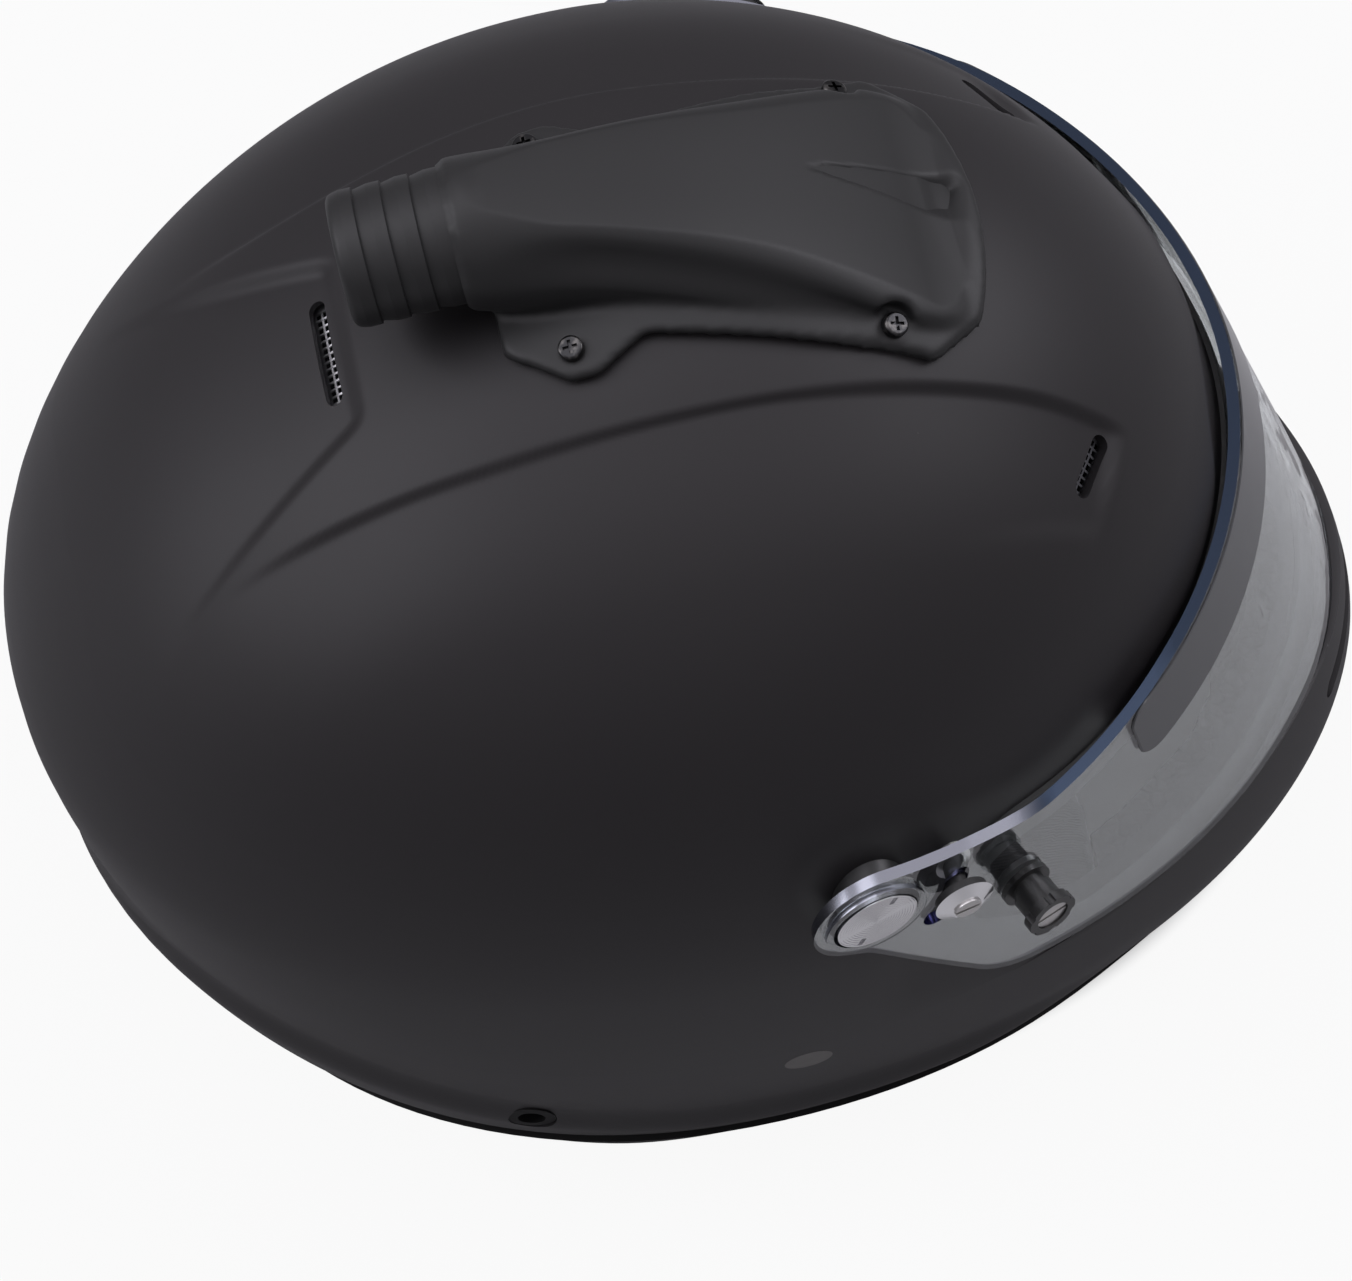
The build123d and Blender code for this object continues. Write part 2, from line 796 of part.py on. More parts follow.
# Chin bar liner: foam behind the chin, between the fronts of the cheek pads
with BuildPart() as chin_bar_liner:
    with BuildSketch(Plane.XY.offset(chin_liner_low)):
        with Locations((0, pad_front - liner_gap)):
            Rectangle(2 * chin_liner_half, chin_reach, align=(Align.CENTER, Align.MAX))
    extrude(amount=chin_liner_high - chin_liner_low)
    add(head_form(liner_inset), mode=Mode.INTERSECT)
    add(head_form(liner_inset + chin_liner_wall), mode=Mode.SUBTRACT)
    add(lining_keep, mode=Mode.SUBTRACT)
    with BuildSketch(chin_slot_plane.offset(-chin_reach / 2)):
        Rectangle(chin_slot_length + 4 * mesh_margin, chin_slot_width + 4 * mesh_margin)
    extrude(amount=chin_reach, mode=Mode.SUBTRACT)
hand_in(chin_bar_liner.part, "chin_bar_liner")

# Neck roll: a pad round the back of the neck, under the impact liner
with BuildPart() as neck_roll:
    with BuildSketch(Plane.XY.offset(roll_low)):
        with Locations((0, roll_front)):
            Rectangle(3 * belt_half_width, belt_rear, align=(Align.CENTER, Align.MIN))
    extrude(amount=liner_rear_low - liner_gap - roll_low)
    add(head_form(liner_inset), mode=Mode.INTERSECT)
    add(head_form(liner_inset + roll_wall), mode=Mode.SUBTRACT)
    add(restraint_notch.part, mode=Mode.SUBTRACT)
    add(mirrored(restraint_notch.part), mode=Mode.SUBTRACT)
hand_in(neck_roll.part, "neck_roll")


def vent_mesh(plane, length, width):
    """A flat net behind a vent, its edge against the shell's inner face."""
    half = length / 2 + mesh_margin
    sag = half**2 / (2 * belt_half_width)
    columns = int(length / mesh_pitch)
    rows = int((width + mesh_margin) / mesh_pitch)
    with BuildPart() as mesh:
        with BuildSketch(plane.offset(-shell_wall - 2 * sag - mesh_wall)):
            SlotOverall(length + 2 * mesh_margin, width + 2 * mesh_margin)
            with GridLocations(mesh_pitch, mesh_pitch, columns, rows):
                Rectangle(mesh_pitch - mesh_wire, mesh_pitch - mesh_wire, mode=Mode.SUBTRACT)
        extrude(amount=mesh_wall)
    return mesh.part


hand_in(vent_mesh(rear_slot_plane, rear_slot_length, rear_slot_width), "vent_mesh_rear")
hand_in_pair(vent_mesh(brow_slot_plane, brow_slot_length, brow_slot_width), "vent_mesh_brow")

# Chin vent's net: a curved band against the inside of the chin bar
chin_columns = int(chin_slot_length / (2 * mesh_pitch))
with BuildPart() as vent_mesh_chin:
    with BuildSketch(chin_slot_plane.offset(-chin_reach / 2)):
        Rectangle(chin_slot_length + 2 * mesh_margin, chin_slot_width + 2 * mesh_margin)
        with GridLocations(2 * mesh_pitch, 0, chin_columns, 1):
            Rectangle(2 * (mesh_pitch - mesh_wire), chin_slot_width, mode=Mode.SUBTRACT)
    extrude(amount=chin_reach)
    add(head_form(shell_wall + bolt_gap), mode=Mode.INTERSECT)
    add(head_form(shell_wall + bolt_gap + mesh_wall), mode=Mode.SUBTRACT)
hand_in(vent_mesh_chin.part, "vent_mesh_chin")

# Duct on the crown: flange, hollow body and hose spigot in one moulding
duct_length = duct_shoulder_y - duct_front_y
shoulder_top = duct_shoulder_z + duct_shoulder_radius


def duct_body(wall):
    """The duct's body, drawn in by a wall, from its low wide front to its round shoulder."""
    with BuildPart() as body:
        for along, spread, middle, top, power in duct_station_shares:
            half = duct_shoulder_radius + duct_widening * spread - wall
            centre = duct_front_z + (duct_shoulder_z - duct_front_z) * middle
            rise = duct_front_top + (shoulder_top - duct_front_top) * top - centre - wall
            points = []
            for index in range(duct_points):
                turn = 2 * math.pi * index / duct_points
                across = math.copysign(abs(math.cos(turn)) ** (2 / power), math.cos(turn))
                up = math.copysign(abs(math.sin(turn)) ** (2 / power), math.sin(turn))
                points.append((half * across, centre + max(rise, bolt_gap) * up))
            with BuildSketch(Plane.XZ.offset(-duct_front_y - duct_length * along)):
                with BuildLine():
                    add(closed_curve(points))
                make_face()
        loft()
    return body.part


def flange_block(margin):
    """The flange's plan outline, drawn in by a margin, straight up through the crown."""
    length = flange_rear - duct_front
    right = [
        (duct_half * across - margin, duct_front + length * along)
        for across, along in duct_edge_shares
    ]
    with BuildPart() as block:
        with BuildSketch(Plane.XY.offset(brow_height)):
            with BuildLine():
                RadiusArc((-right[0][0], right[0][1]), right[0], -2 * duct_half)
                Polyline(*right, *[(-x, y) for x, y in reversed(right)])
            make_face()
            fillet(vertices(), flange_corner)
        extrude(amount=crown_height)
    return block.part



tilt = math.radians(spigot_tilt)
shoulder = Vector(0, duct_shoulder_y, duct_shoulder_z)
spigot_axis = Axis(shoulder, (0, math.cos(tilt), -math.sin(tilt)))
spigot_half_plane = Plane(shoulder, x_dir=(1, 0, 0), z_dir=(0, math.sin(tilt), math.cos(tilt)))
spigot_end_plane = Plane(
    shoulder + spigot_axis.direction * spigot_length, x_dir=(1, 0, 0), z_dir=-spigot_axis.direction
)
spigot_base_plane = Plane(shoulder, x_dir=(1, 0, 0), z_dir=spigot_axis.direction)
body_end = round_bar(spigot_base_plane, 2 * duct_shoulder_radius, 0, duct_shoulder_radius)
room_end = round_bar(spigot_base_plane, 2 * duct_shoulder_radius, -duct_wall, duct_shoulder_radius)
barb_length = spigot_length / spigot_barbs
spigot_outline = [(0, -duct_wall), (spigot_root, -duct_wall)]
for index in range(spigot_barbs):
    edge = barb_length * index + spigot_barb_edge
    spigot_outline += [(spigot_barb, edge), (spigot_barb, edge + spigot_land)]
    spigot_outline.append((spigot_root, barb_length * (index + 1)))
with BuildPart() as spigot:
    with BuildSketch(spigot_half_plane):
        with BuildLine():
            Polyline(*spigot_outline, (0, spigot_length), close=True)
        make_face()
    revolve(axis=spigot_axis)
    fillet(edges().sort_by(Axis.Y)[-1], spigot_rim_round)
spigot_bore_cut = round_bar(
    spigot_end_plane, spigot_bore, -overrun, spigot_length + overrun + duct_shoulder_radius
)
seat = duct_gasket_wall + flange_wall
pocket_walls = [
    round_bar(plane, duct_pocket_radius + duct_wall, -slot_depth, 3 * slot_depth)
    for plane in duct_screw_planes
]
with BuildPart() as duct_room:
    add(duct_body(duct_wall))
    add(room_end, mode=Mode.SUBTRACT)
    for wall in pocket_walls:
        add(wall, mode=Mode.SUBTRACT)
gasket_top = head_form(-duct_gasket_wall)
with BuildPart() as top_air_flange:
    add(flange_block(0))
    add(head_form(-seat), mode=Mode.INTERSECT)
with BuildPart() as top_air_duct:
    add(duct_body(0))
    add(body_end, mode=Mode.SUBTRACT)
    add(top_air_flange.part)
    add(spigot.part)
    for plane in duct_screw_planes:
        add(round_bar(plane, duct_pocket_radius, seat, 2 * slot_depth), mode=Mode.SUBTRACT)
    add(gasket_top, mode=Mode.SUBTRACT)
    add(duct_room.part, mode=Mode.SUBTRACT)
    add(spigot_bore_cut, mode=Mode.SUBTRACT)
    for plane in duct_screw_planes:
        add(round_bar(plane, duct_shank_radius + bolt_gap, -seat, 3 * seat), mode=Mode.SUBTRACT)
hand_in(top_air_duct.part, "top_air_duct")

# Gasket under the duct's flange, open inside like the duct
with BuildPart() as top_air_gasket:
    add(flange_block(duct_gasket_margin))
    add(gasket_top, mode=Mode.INTERSECT)
    add(outer_form, mode=Mode.SUBTRACT)
    add(duct_room.part, mode=Mode.SUBTRACT)
    for plane in duct_screw_planes:
        add(round_bar(plane, duct_shank_radius + bolt_gap, -seat, 3 * seat), mode=Mode.SUBTRACT)
hand_in(top_air_gasket.part, "top_air_gasket")

# The duct's four pan-head screws, and the inserts that they turn into
duct_screws = []
duct_inserts = []
insert_length = shell_wall + bolt_gap
for plane in duct_screw_planes:
    with BuildPart() as screw:
        with BuildSketch(plane.offset(seat)):
            Circle(duct_screw_radius)
        extrude(amount=duct_screw_head)
        fillet(faces().sort_by(Axis.Z)[-1].edges(), duct_screw_round)
        with BuildSketch(plane.offset(seat + duct_screw_head)):
            Rectangle(cross_length, cross_width)
            Rectangle(cross_width, cross_length)
        extrude(amount=-cross_depth, mode=Mode.SUBTRACT)
        with BuildSketch(plane.offset(seat)):
            Circle(duct_shank_radius)
        extrude(amount=-seat - shell_wall)
    duct_screws.append(screw.part)
    with BuildPart() as insert:
        with BuildSketch(plane.offset(-insert_length)):
            Circle(duct_insert_radius)
            Circle(duct_shank_radius + bolt_gap, mode=Mode.SUBTRACT)
        extrude(amount=insert_length + overrun)
        add(outer_form, mode=Mode.INTERSECT)
    duct_inserts.append(insert.part)
with BuildPart() as top_air_screws:
    for screw_part in duct_screws:
        add(screw_part)
with BuildPart() as top_air_inserts:
    for insert_part in duct_inserts:
        add(insert_part)
hand_in(top_air_screws.part, "top_air_screws")
hand_in(top_air_inserts.part, "top_air_inserts")


def screen_level(point):
    """Below zero behind the visor's outer face, above zero in front of it."""
    length = screen_length(point.Z, 0)
    power = visor_plan_power
    return (abs(point.X) / visor_half_width) ** power + (abs(point.Y) / length) ** power - 1


def screen_plane(y, z):
    """A plane on the visor's outer face on the left, facing out, with its X up."""
    length = screen_length(z, 0)
    power = visor_plan_power
    x = visor_half_width * (1 - (abs(y) / length) ** power) ** (1 / power)
    point = Vector(x, y, z)
    step = seat_gap / 3
    steps = (Vector(step, 0, 0), Vector(0, step, 0), Vector(0, 0, step))
    rise = [screen_level(point + move) - screen_level(point - move) for move in steps]
    return Plane(point, x_dir=(0, 0, 1), z_dir=Vector(*rise))


def ear_tangent(point, side):
    """Where a line from a point touches the ear's round end, above it for 1 and below it for -1."""
    along = point[0] - pivot_y
    up = point[1] - pivot_z
    turn = math.atan2(up, along) - side * math.acos(ear_radius / math.hypot(along, up))
    return (pivot_y + ear_radius * math.cos(turn), pivot_z + ear_radius * math.sin(turn))


# The visor's outline in side view
outline_front = -(chin_reach + overrun)
top_edge = [(outline_front, visor_top)] + [
    (pivot_y - visor_run * along, pivot_z + ear_radius * up) for along, up in top_edge_shares
]
low_edge = [
    (pivot_y - visor_run * along, pivot_z - visor_drop * down) for along, down in low_edge_shares
] + [(outline_front, pivot_z - visor_drop)]
ear_top = ear_tangent(top_edge[-1], 1)
ear_bottom = ear_tangent(low_edge[0], -1)
with BuildPart() as visor_block:
    with BuildSketch(Plane.YZ):
        with BuildLine():
            FilletPolyline(*top_edge, ear_top, radius=[brow_corner, cheek_corner, cheek_corner])
            ThreePointArc(ear_top, (pivot_y + ear_radius, pivot_z), ear_bottom)
            FilletPolyline(
                ear_bottom, *low_edge, radius=[ear_corner, cheek_corner, jaw_corner, chin_corner]
            )
            Line(low_edge[-1], top_edge[0])
        make_face()
    extrude(amount=visor_half_width + overrun, both=True)

post_plane = screen_plane(post_y, post_z)
track_line = CenterArc((0, 0), track_radius, track_start, track_end - track_start)
with BuildPart() as track:
    with BuildSketch(pivot_axis_plane.offset(-2 * overrun)):
        SlotArc(track_line, track_width)
    extrude(amount=3 * overrun)
visor_boss = round_bar(pivot_plane, pivot_hollow + boss_wall, -visor_wall / 2, visor_wall / 2 + boss_rise)
visor_holes = [
    round_bar(pivot_axis_plane, pivot_hollow, -2 * overrun, 4 * overrun),
    track.part,
    round_bar(post_plane, post_stud_radius + bolt_gap, -2 * overrun, 4 * overrun),
]

# Visor: one thermoformed screen with an ear at each side
with BuildPart() as visor:
    add(screen_block(0, 0, screen_low, screen_high, ear_tail))
    add(
        screen_block(visor_wall, visor_wall, screen_low - overrun, screen_high + overrun, 2 * ear_tail),
        mode=Mode.SUBTRACT,
    )
    add(visor_block.part, mode=Mode.INTERSECT)
    add(visor_boss)
    add(mirrored(visor_boss))
    for hole in visor_holes:
        add(hole, mode=Mode.SUBTRACT)
        add(mirrored(hole), mode=Mode.SUBTRACT)
hand_in(visor.part, "visor")

# Shade strip: a dark film along the top of the visor
film = strip_bond + strip_wall
with BuildPart() as visor_shade_strip:
    with BuildSketch(Plane.XZ):
        with Locations((0, (strip_low + strip_high) / 2)):
            RectangleRounded(2 * strip_half, strip_high - strip_low, strip_corner)
    extrude(amount=chin_reach)
    add(screen_block(-film, -film, screen_low, screen_high, ear_tail), mode=Mode.INTERSECT)
    add(
        screen_block(-strip_bond, -strip_bond, screen_low - overrun, screen_high + overrun, 2 * ear_tail),
        mode=Mode.SUBTRACT,
    )
hand_in(visor_shade_strip.part, "visor_shade_strip")

# Pivot: a spacer on the shell, and a disc with a stud that a nut holds from inside
with BuildPart() as pivot_base:
    with BuildSketch(pivot_axis_plane.offset(-pivot_base_drop)):
        Circle(pivot_base_radius)
        Circle(pivot_stud_radius + bolt_gap, mode=Mode.SUBTRACT)
    extrude(amount=-2 * slot_depth)
    add(outer_form, mode=Mode.SUBTRACT)
hand_in_pair(pivot_base.part, "pivot_base")

with BuildPart() as pivot_disc:
    with BuildSketch(pivot_plane.offset(pivot_proud)):
        Circle(pivot_radius)
    extrude(amount=-pivot_disc_wall)
    with BuildSketch(pivot_plane.offset(pivot_proud)):
        with PolarLocations(pivot_notch_place, 2, start_angle=30):
            Rectangle(pivot_notch_length, pivot_notch_width)
    extrude(amount=-pivot_notch_depth, mode=Mode.SUBTRACT)
    with BuildSketch(pivot_axis_plane.offset(-pivot_base_drop)):
        Circle(pivot_hub_radius)
    extrude(amount=pivot_base_drop)
    with BuildSketch(pivot_axis_plane.offset(-pivot_base_drop)):
        Circle(pivot_stud_radius)
    extrude(amount=-pivot_stud_length + pivot_base_drop)
hand_in_pair(pivot_disc.part, "pivot_disc")

with BuildPart() as pivot_nut:
    with BuildSketch(pivot_axis_plane.offset(-pivot_stud_length)):
        Circle(pivot_nut_radius)
        Circle(pivot_stud_radius + bolt_gap, mode=Mode.SUBTRACT)
    extrude(amount=2 * shell_wall)
    add(inner_form, mode=Mode.INTERSECT)
hand_in_pair(pivot_nut.part, "pivot_nut")

# Friction hardware: a rubber washer with a neck through the track, a conical cup and a screw
rubber_top = tension_rise + rubber_wall
cup_top = rubber_top + cup_wall
with BuildPart() as tension_rubber:
    with BuildSketch(tension_plane.offset(tension_rise)):
        Circle(rubber_radius)
    extrude(amount=rubber_wall)
    with BuildSketch(tension_axis_plane.offset(rubber_top - rubber_wall / 2)):
        Circle(rubber_neck_radius)
    extrude(amount=-2 * slot_depth)
    with BuildSketch(tension_axis_plane.offset(overrun)):
        Circle(tension_shank_radius + bolt_gap)
    extrude(amount=-3 * slot_depth, mode=Mode.SUBTRACT)
    add(outer_form, mode=Mode.SUBTRACT)
hand_in_pair(tension_rubber.part, "tension_rubber")

with BuildPart() as tension_cup:
    with BuildSketch(tension_plane.offset(rubber_top)):
        Circle(cup_radius)
    with BuildSketch(tension_plane.offset(cup_top)):
        Circle(cup_face_radius)
    loft()
    with BuildSketch(tension_plane.offset(cup_top)):
        Circle(cup_screw_radius + bolt_gap)
    extrude(amount=-cup_screw_wall / 2, mode=Mode.SUBTRACT)
    with BuildSketch(tension_axis_plane.offset(overrun + cup_top)):
        Circle(tension_shank_radius + bolt_gap)
    extrude(amount=-2 * slot_depth, mode=Mode.SUBTRACT)
hand_in_pair(tension_cup.part, "tension_cup")

with BuildPart() as tension_screw:
    with BuildSketch(tension_plane.offset(cup_top - cup_screw_wall / 2)):
        Circle(cup_screw_radius)
    extrude(amount=cup_screw_wall)
    with BuildSketch(tension_plane.offset(cup_top + cup_screw_wall / 2)):
        Rectangle(driver_slot_width, 2 * cup_screw_radius)
    extrude(amount=-driver_slot_depth, mode=Mode.SUBTRACT)
    with BuildSketch(tension_axis_plane.offset(cup_top - cup_screw_wall / 4)):
        Circle(tension_shank_radius)
    extrude(amount=-cup_top - 2 * slot_depth + tension_insert_length)
hand_in_pair(tension_screw.part, "tension_screw")

with BuildPart() as tension_insert:
    with BuildSketch(tension_axis_plane.offset(-2 * slot_depth)):
        Circle(tension_insert_radius - bolt_gap)
        Circle(tension_shank_radius + bolt_gap, mode=Mode.SUBTRACT)
    extrude(amount=2 * slot_depth)
    add(outer_form, mode=Mode.INTERSECT)
hand_in_pair(tension_insert.part, "tension_insert")

# Tear-off post: a plastic knob with a lobed rim, its slotted screw, and a nut behind the visor
neck_start = post_flange_wall
barrel_start = neck_start + post_neck_length
rim_start = barrel_start + post_barrel_length
post_length = rim_start + post_rim_length
with BuildPart() as tear_off_post:
    with BuildSketch(post_plane.offset(bolt_gap)):
        Circle(post_flange_radius)
    extrude(amount=post_flange_wall)
    with BuildSketch(post_plane.offset(bolt_gap)):
        Circle(post_neck_radius)
    extrude(amount=barrel_start)
    with BuildSketch(post_plane.offset(barrel_start)):
        Circle(post_barrel_radius)
    extrude(amount=post_barrel_length)
    with BuildSketch(post_plane.offset(rim_start)):
        Circle(post_rim_radius)
        with PolarLocations(post_rim_radius + post_rim_notch / 2, post_rim_lobes):
            Circle(post_rim_notch, mode=Mode.SUBTRACT)
    extrude(amount=post_rim_length)
    with BuildSketch(post_plane.offset(post_length)):
        Circle(post_bore_radius)
    extrude(amount=-post_bore_depth, mode=Mode.SUBTRACT)
    with BuildSketch(post_plane):
        Circle(post_shank_radius + bolt_gap)
    extrude(amount=post_length, mode=Mode.SUBTRACT)
    add(visor.part, mode=Mode.SUBTRACT)
hand_in_pair(tear_off_post.part, "tear_off_post")

nut_face = -visor_wall - seat_gap
with BuildPart() as tear_off_screw:
    with BuildSketch(post_plane.offset(post_length - post_bore_depth)):
        Circle(post_screw_radius)
    extrude(amount=post_screw_wall)
    with BuildSketch(post_plane.offset(post_length - post_bore_depth + post_screw_wall)):
        Rectangle(driver_slot_width, 2 * post_screw_radius)
    extrude(amount=-driver_slot_depth, mode=Mode.SUBTRACT)
    with BuildSketch(post_plane.offset(post_length - post_bore_depth)):
        Circle(post_shank_radius)
    extrude(amount=nut_face - post_nut_wall - post_length + post_bore_depth)
hand_in_pair(tear_off_screw.part, "tear_off_screw")

with BuildPart() as tear_off_nut:
    with BuildSketch(post_plane.offset(nut_face)):
        Circle(post_nut_radius)
        Circle(post_shank_radius + bolt_gap, mode=Mode.SUBTRACT)
    extrude(amount=-post_nut_wall)
    with BuildSketch(post_plane.offset(nut_face)):
        Circle(post_stud_radius)
        Circle(post_shank_radius + bolt_gap, mode=Mode.SUBTRACT)
    extrude(amount=visor_wall)
hand_in_pair(tear_off_nut.part, "tear_off_nut")

# Head restraint anchor: a flush insert with a flange inside the shell, threaded below a plain lead-in
with BuildPart() as restraint_barrel:
    with BuildSketch(restraint_plane.offset(-restraint_depth)):
        Circle(restraint_radius - bolt_gap)
    extrude(amount=restraint_depth + overrun)
    add(outer_form, mode=Mode.INTERSECT)
with BuildPart() as restraint_flange:
    with BuildSketch(restraint_plane.offset(-restraint_backing_depth)):
        Circle(restraint_backing_radius)
    extrude(amount=restraint_backing_depth)
    add(inner_form, mode=Mode.INTERSECT)
with BuildPart() as restraint_anchor:
    add(restraint_barrel.part)
    add(restraint_flange.part)
    with BuildSketch(restraint_plane.offset(overrun)):
        Circle(restraint_lead_radius)
    extrude(amount=-restraint_lead_depth - overrun, mode=Mode.SUBTRACT)
    with BuildSketch(restraint_plane):
        Circle(restraint_thread_radius)
    extrude(amount=-restraint_depth + restraint_end_wall, mode=Mode.SUBTRACT)
hand_in_pair(restraint_anchor.part, "restraint_anchor")

# Chin strap anchor: a rivet through the shell and the strap, under a flush cap
with BuildPart() as anchor_cap:
    with BuildSketch(anchor_plane.offset(-anchor_cap_wall)):
        Circle(anchor_radius - bolt_gap)
    extrude(amount=anchor_cap_wall + overrun)
    add(outer_form, mode=Mode.INTERSECT)
hand_in_pair(anchor_cap.part, "anchor_cap")

anchor_head = strap_inset + strap_wall
with BuildPart() as strap_anchor:
    with BuildSketch(anchor_plane.offset(-shell_wall)):
        Circle(anchor_radius - bolt_gap)
    extrude(amount=shell_wall - anchor_cap_wall - bolt_gap)
    with BuildSketch(anchor_plane.offset(-shell_wall)):
        Circle(anchor_shank_radius)
    extrude(amount=shell_wall - anchor_head)
    with BuildSketch(anchor_plane.offset(-anchor_head)):
        Circle(anchor_head_radius)
    extrude(amount=-anchor_head_wall)
hand_in_pair(strap_anchor.part, "strap_anchor")

# Chin strap: two webs from the anchors, down inside the shell and across the neck opening
strap_rear = anchor_y + strap_width / 2
strap_side = []
for share in strap_height_shares:
    height = anchor_z * share
    side = form_point(Vector(0, anchor_y, height), Vector(1, 0, 0), strap_inset)
    strap_side.append((side.X, height))
strap_hole = round_bar(anchor_plane, anchor_hole_radius, -2 * slot_depth, 3 * slot_depth)
bar_room = ring_wire_radius + ring_clearance
loop_x = ring_x + ring_spacing / 2
loop_half = ring_spacing / 2 + bar_room
short_route = strap_side + [
    (strap_turn_x, strap_turn_z),
    (strap_flat_x, ring_z),
    (loop_x + loop_half + strap_wall / 2, ring_z),
]
with BuildPart() as chin_strap_short:
    with BuildSketch(Plane.XZ.offset(-strap_rear)):
        with BuildLine():
            FilletPolyline(*short_route, radius=strap_bend)
        trace(line_width=strap_wall)
        with Locations((loop_x + loop_half + strap_sewn_length / 2, ring_z)):
            Rectangle(strap_sewn_length, 2 * strap_wall)
        with Locations((loop_x, ring_z)):
            SlotOverall(2 * (loop_half + strap_wall), 2 * (bar_room + strap_wall))
            SlotOverall(2 * loop_half, 2 * bar_room, mode=Mode.SUBTRACT)
    extrude(amount=strap_width)
    add(strap_hole, mode=Mode.SUBTRACT)
hand_in(chin_strap_short.part, "chin_strap_short")

fold_height = strap_end_z + 2 * strap_fold
long_route = strap_side + [
    (strap_turn_x, strap_turn_z),
    (strap_low_x, strap_low_z),
    (strap_rest_x, strap_rest_z),
    (strap_end_x, strap_end_z),
    (strap_end_x, fold_height),
    (strap_tail_x, fold_height),
]
bends = [strap_bend] * (len(long_route) - 4) + [strap_fold - bolt_gap] * 2
with BuildPart() as chin_strap_long:
    with BuildSketch(Plane.XZ.offset(-strap_rear)):
        with BuildLine():
            FilletPolyline(*long_route, radius=bends)
        trace(line_width=strap_wall)
    extrude(amount=strap_width)
    add(strap_hole, mode=Mode.SUBTRACT)
hand_in(mirrored(chin_strap_long.part), "chin_strap_long")


def strap_ring(x):
    """A wire ring shaped like a D, hanging from its straight bar."""
    centre = Vector(x, anchor_y, ring_z)
    with BuildPart() as ring:
        with BuildLine(Plane(centre, x_dir=(0, 1, 0), z_dir=(1, 0, 0))):
            Line((0, 0), (ring_half, 0))
            ThreePointArc((ring_half, 0), (0, -ring_half), (-ring_half, 0))
            Line((-ring_half, 0), (0, 0))
            corners = vertices().sort_by(Axis.Y)
            fillet((corners[0], corners[-1]), ring_corner)
        with BuildSketch(Plane(centre, x_dir=(1, 0, 0), z_dir=(0, 1, 0))):
            Circle(ring_wire_radius)
        sweep()
    return ring.part


hand_in(strap_ring(ring_x), "strap_ring_inner")
hand_in(strap_ring(ring_x + ring_spacing), "strap_ring_outer")
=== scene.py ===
import math
import bpy
import bmesh
import numpy as np
from mathutils import Matrix, Vector


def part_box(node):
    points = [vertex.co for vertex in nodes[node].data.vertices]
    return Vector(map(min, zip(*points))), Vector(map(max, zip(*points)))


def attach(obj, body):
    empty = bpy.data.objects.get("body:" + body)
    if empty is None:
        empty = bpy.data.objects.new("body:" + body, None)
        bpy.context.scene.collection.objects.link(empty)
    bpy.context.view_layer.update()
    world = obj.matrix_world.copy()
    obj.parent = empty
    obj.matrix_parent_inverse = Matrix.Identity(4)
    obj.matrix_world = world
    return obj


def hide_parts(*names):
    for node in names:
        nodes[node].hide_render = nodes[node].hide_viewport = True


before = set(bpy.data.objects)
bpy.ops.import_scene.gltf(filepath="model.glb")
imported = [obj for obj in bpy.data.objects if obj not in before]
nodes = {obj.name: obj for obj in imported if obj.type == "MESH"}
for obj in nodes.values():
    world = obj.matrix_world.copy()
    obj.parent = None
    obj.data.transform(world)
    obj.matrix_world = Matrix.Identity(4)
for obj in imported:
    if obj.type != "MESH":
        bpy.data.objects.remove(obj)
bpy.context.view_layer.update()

# The studio: a white floor and a white surround that polished and clear pieces mirror, and three
# large soft lamps, over the crown, behind the helmet and before it. A long lens looks down on the
# helmet's right side.
camera_place = (-0.676308, 0.094521, 1.282436)
camera_right = (-0.19688295, -0.97966674, -0.03860293)
camera_up = (0.85115636, -0.19033241, 0.48918956)
camera_back = (-0.48659013, 0.06345596, 0.87132278)
camera_lens = 141.99
camera_sensor = 36.0
surround_light = 0.30
mirrored_high = 1.0
mirrored_low = 0.22
mirrored_span = (-0.1, 0.95)
floor_white = 0.55
floor_shown = 0.93
floor_reach = 6.0
floor_level = -3e-4
footprint = (0.100, 0.146)
footprint_middle = -0.008
footprint_fade = (0.9, 1.1)
lamp_aim = (0, 0, 0.15)
lamps = (
    ("crown_lamp", (0.25, 0.25, 2.1), 1.5, 10.0),
    ("rear_lamp", (0.2, 1.7, 1.3), 1.3, 17.0),
    ("front_lamp", (0.3, -1.7, 1.5), 1.2, 19.0),
)
lamp_tint = (0.94, 0.93, 1.0)
surround_tint = (0.96, 0.93, 1.0, 1)
pure_white = (1, 1, 1, 1)


class Wire:
    """A shader socket in sums and products: each operation adds its Math node."""

    def __init__(self, shader, socket):
        self.shader = shader
        self.socket = socket

    def math(self, operation, other=0.0, first=None):
        values = {0: self if first is None else first, 1: other}
        return self.shader.node("ShaderNodeMath", {"operation": operation}, values)

    def __add__(self, other):
        return self.math("ADD", other)

    def __sub__(self, other):
        return self.math("SUBTRACT", other)

    def __rsub__(self, other):
        return self.math("SUBTRACT", self, first=other)

    def __mul__(self, other):
        return self.math("MULTIPLY", other)

    def __truediv__(self, other):
        return self.math("DIVIDE", other)

    def __pow__(self, other):
        return self.math("POWER", other)

    __radd__ = __add__
    __rmul__ = __mul__

    def ramp(self, low, high, start=0.0, end=1.0):
        """From start at low to end at high, smoothly, and level outside them."""
        return self.shader.node(
            "ShaderNodeMapRange",
            {"interpolation_type": "SMOOTHSTEP"},
            {"Value": self, "From Min": low, "From Max": high, "To Min": start, "To Max": end},
        )


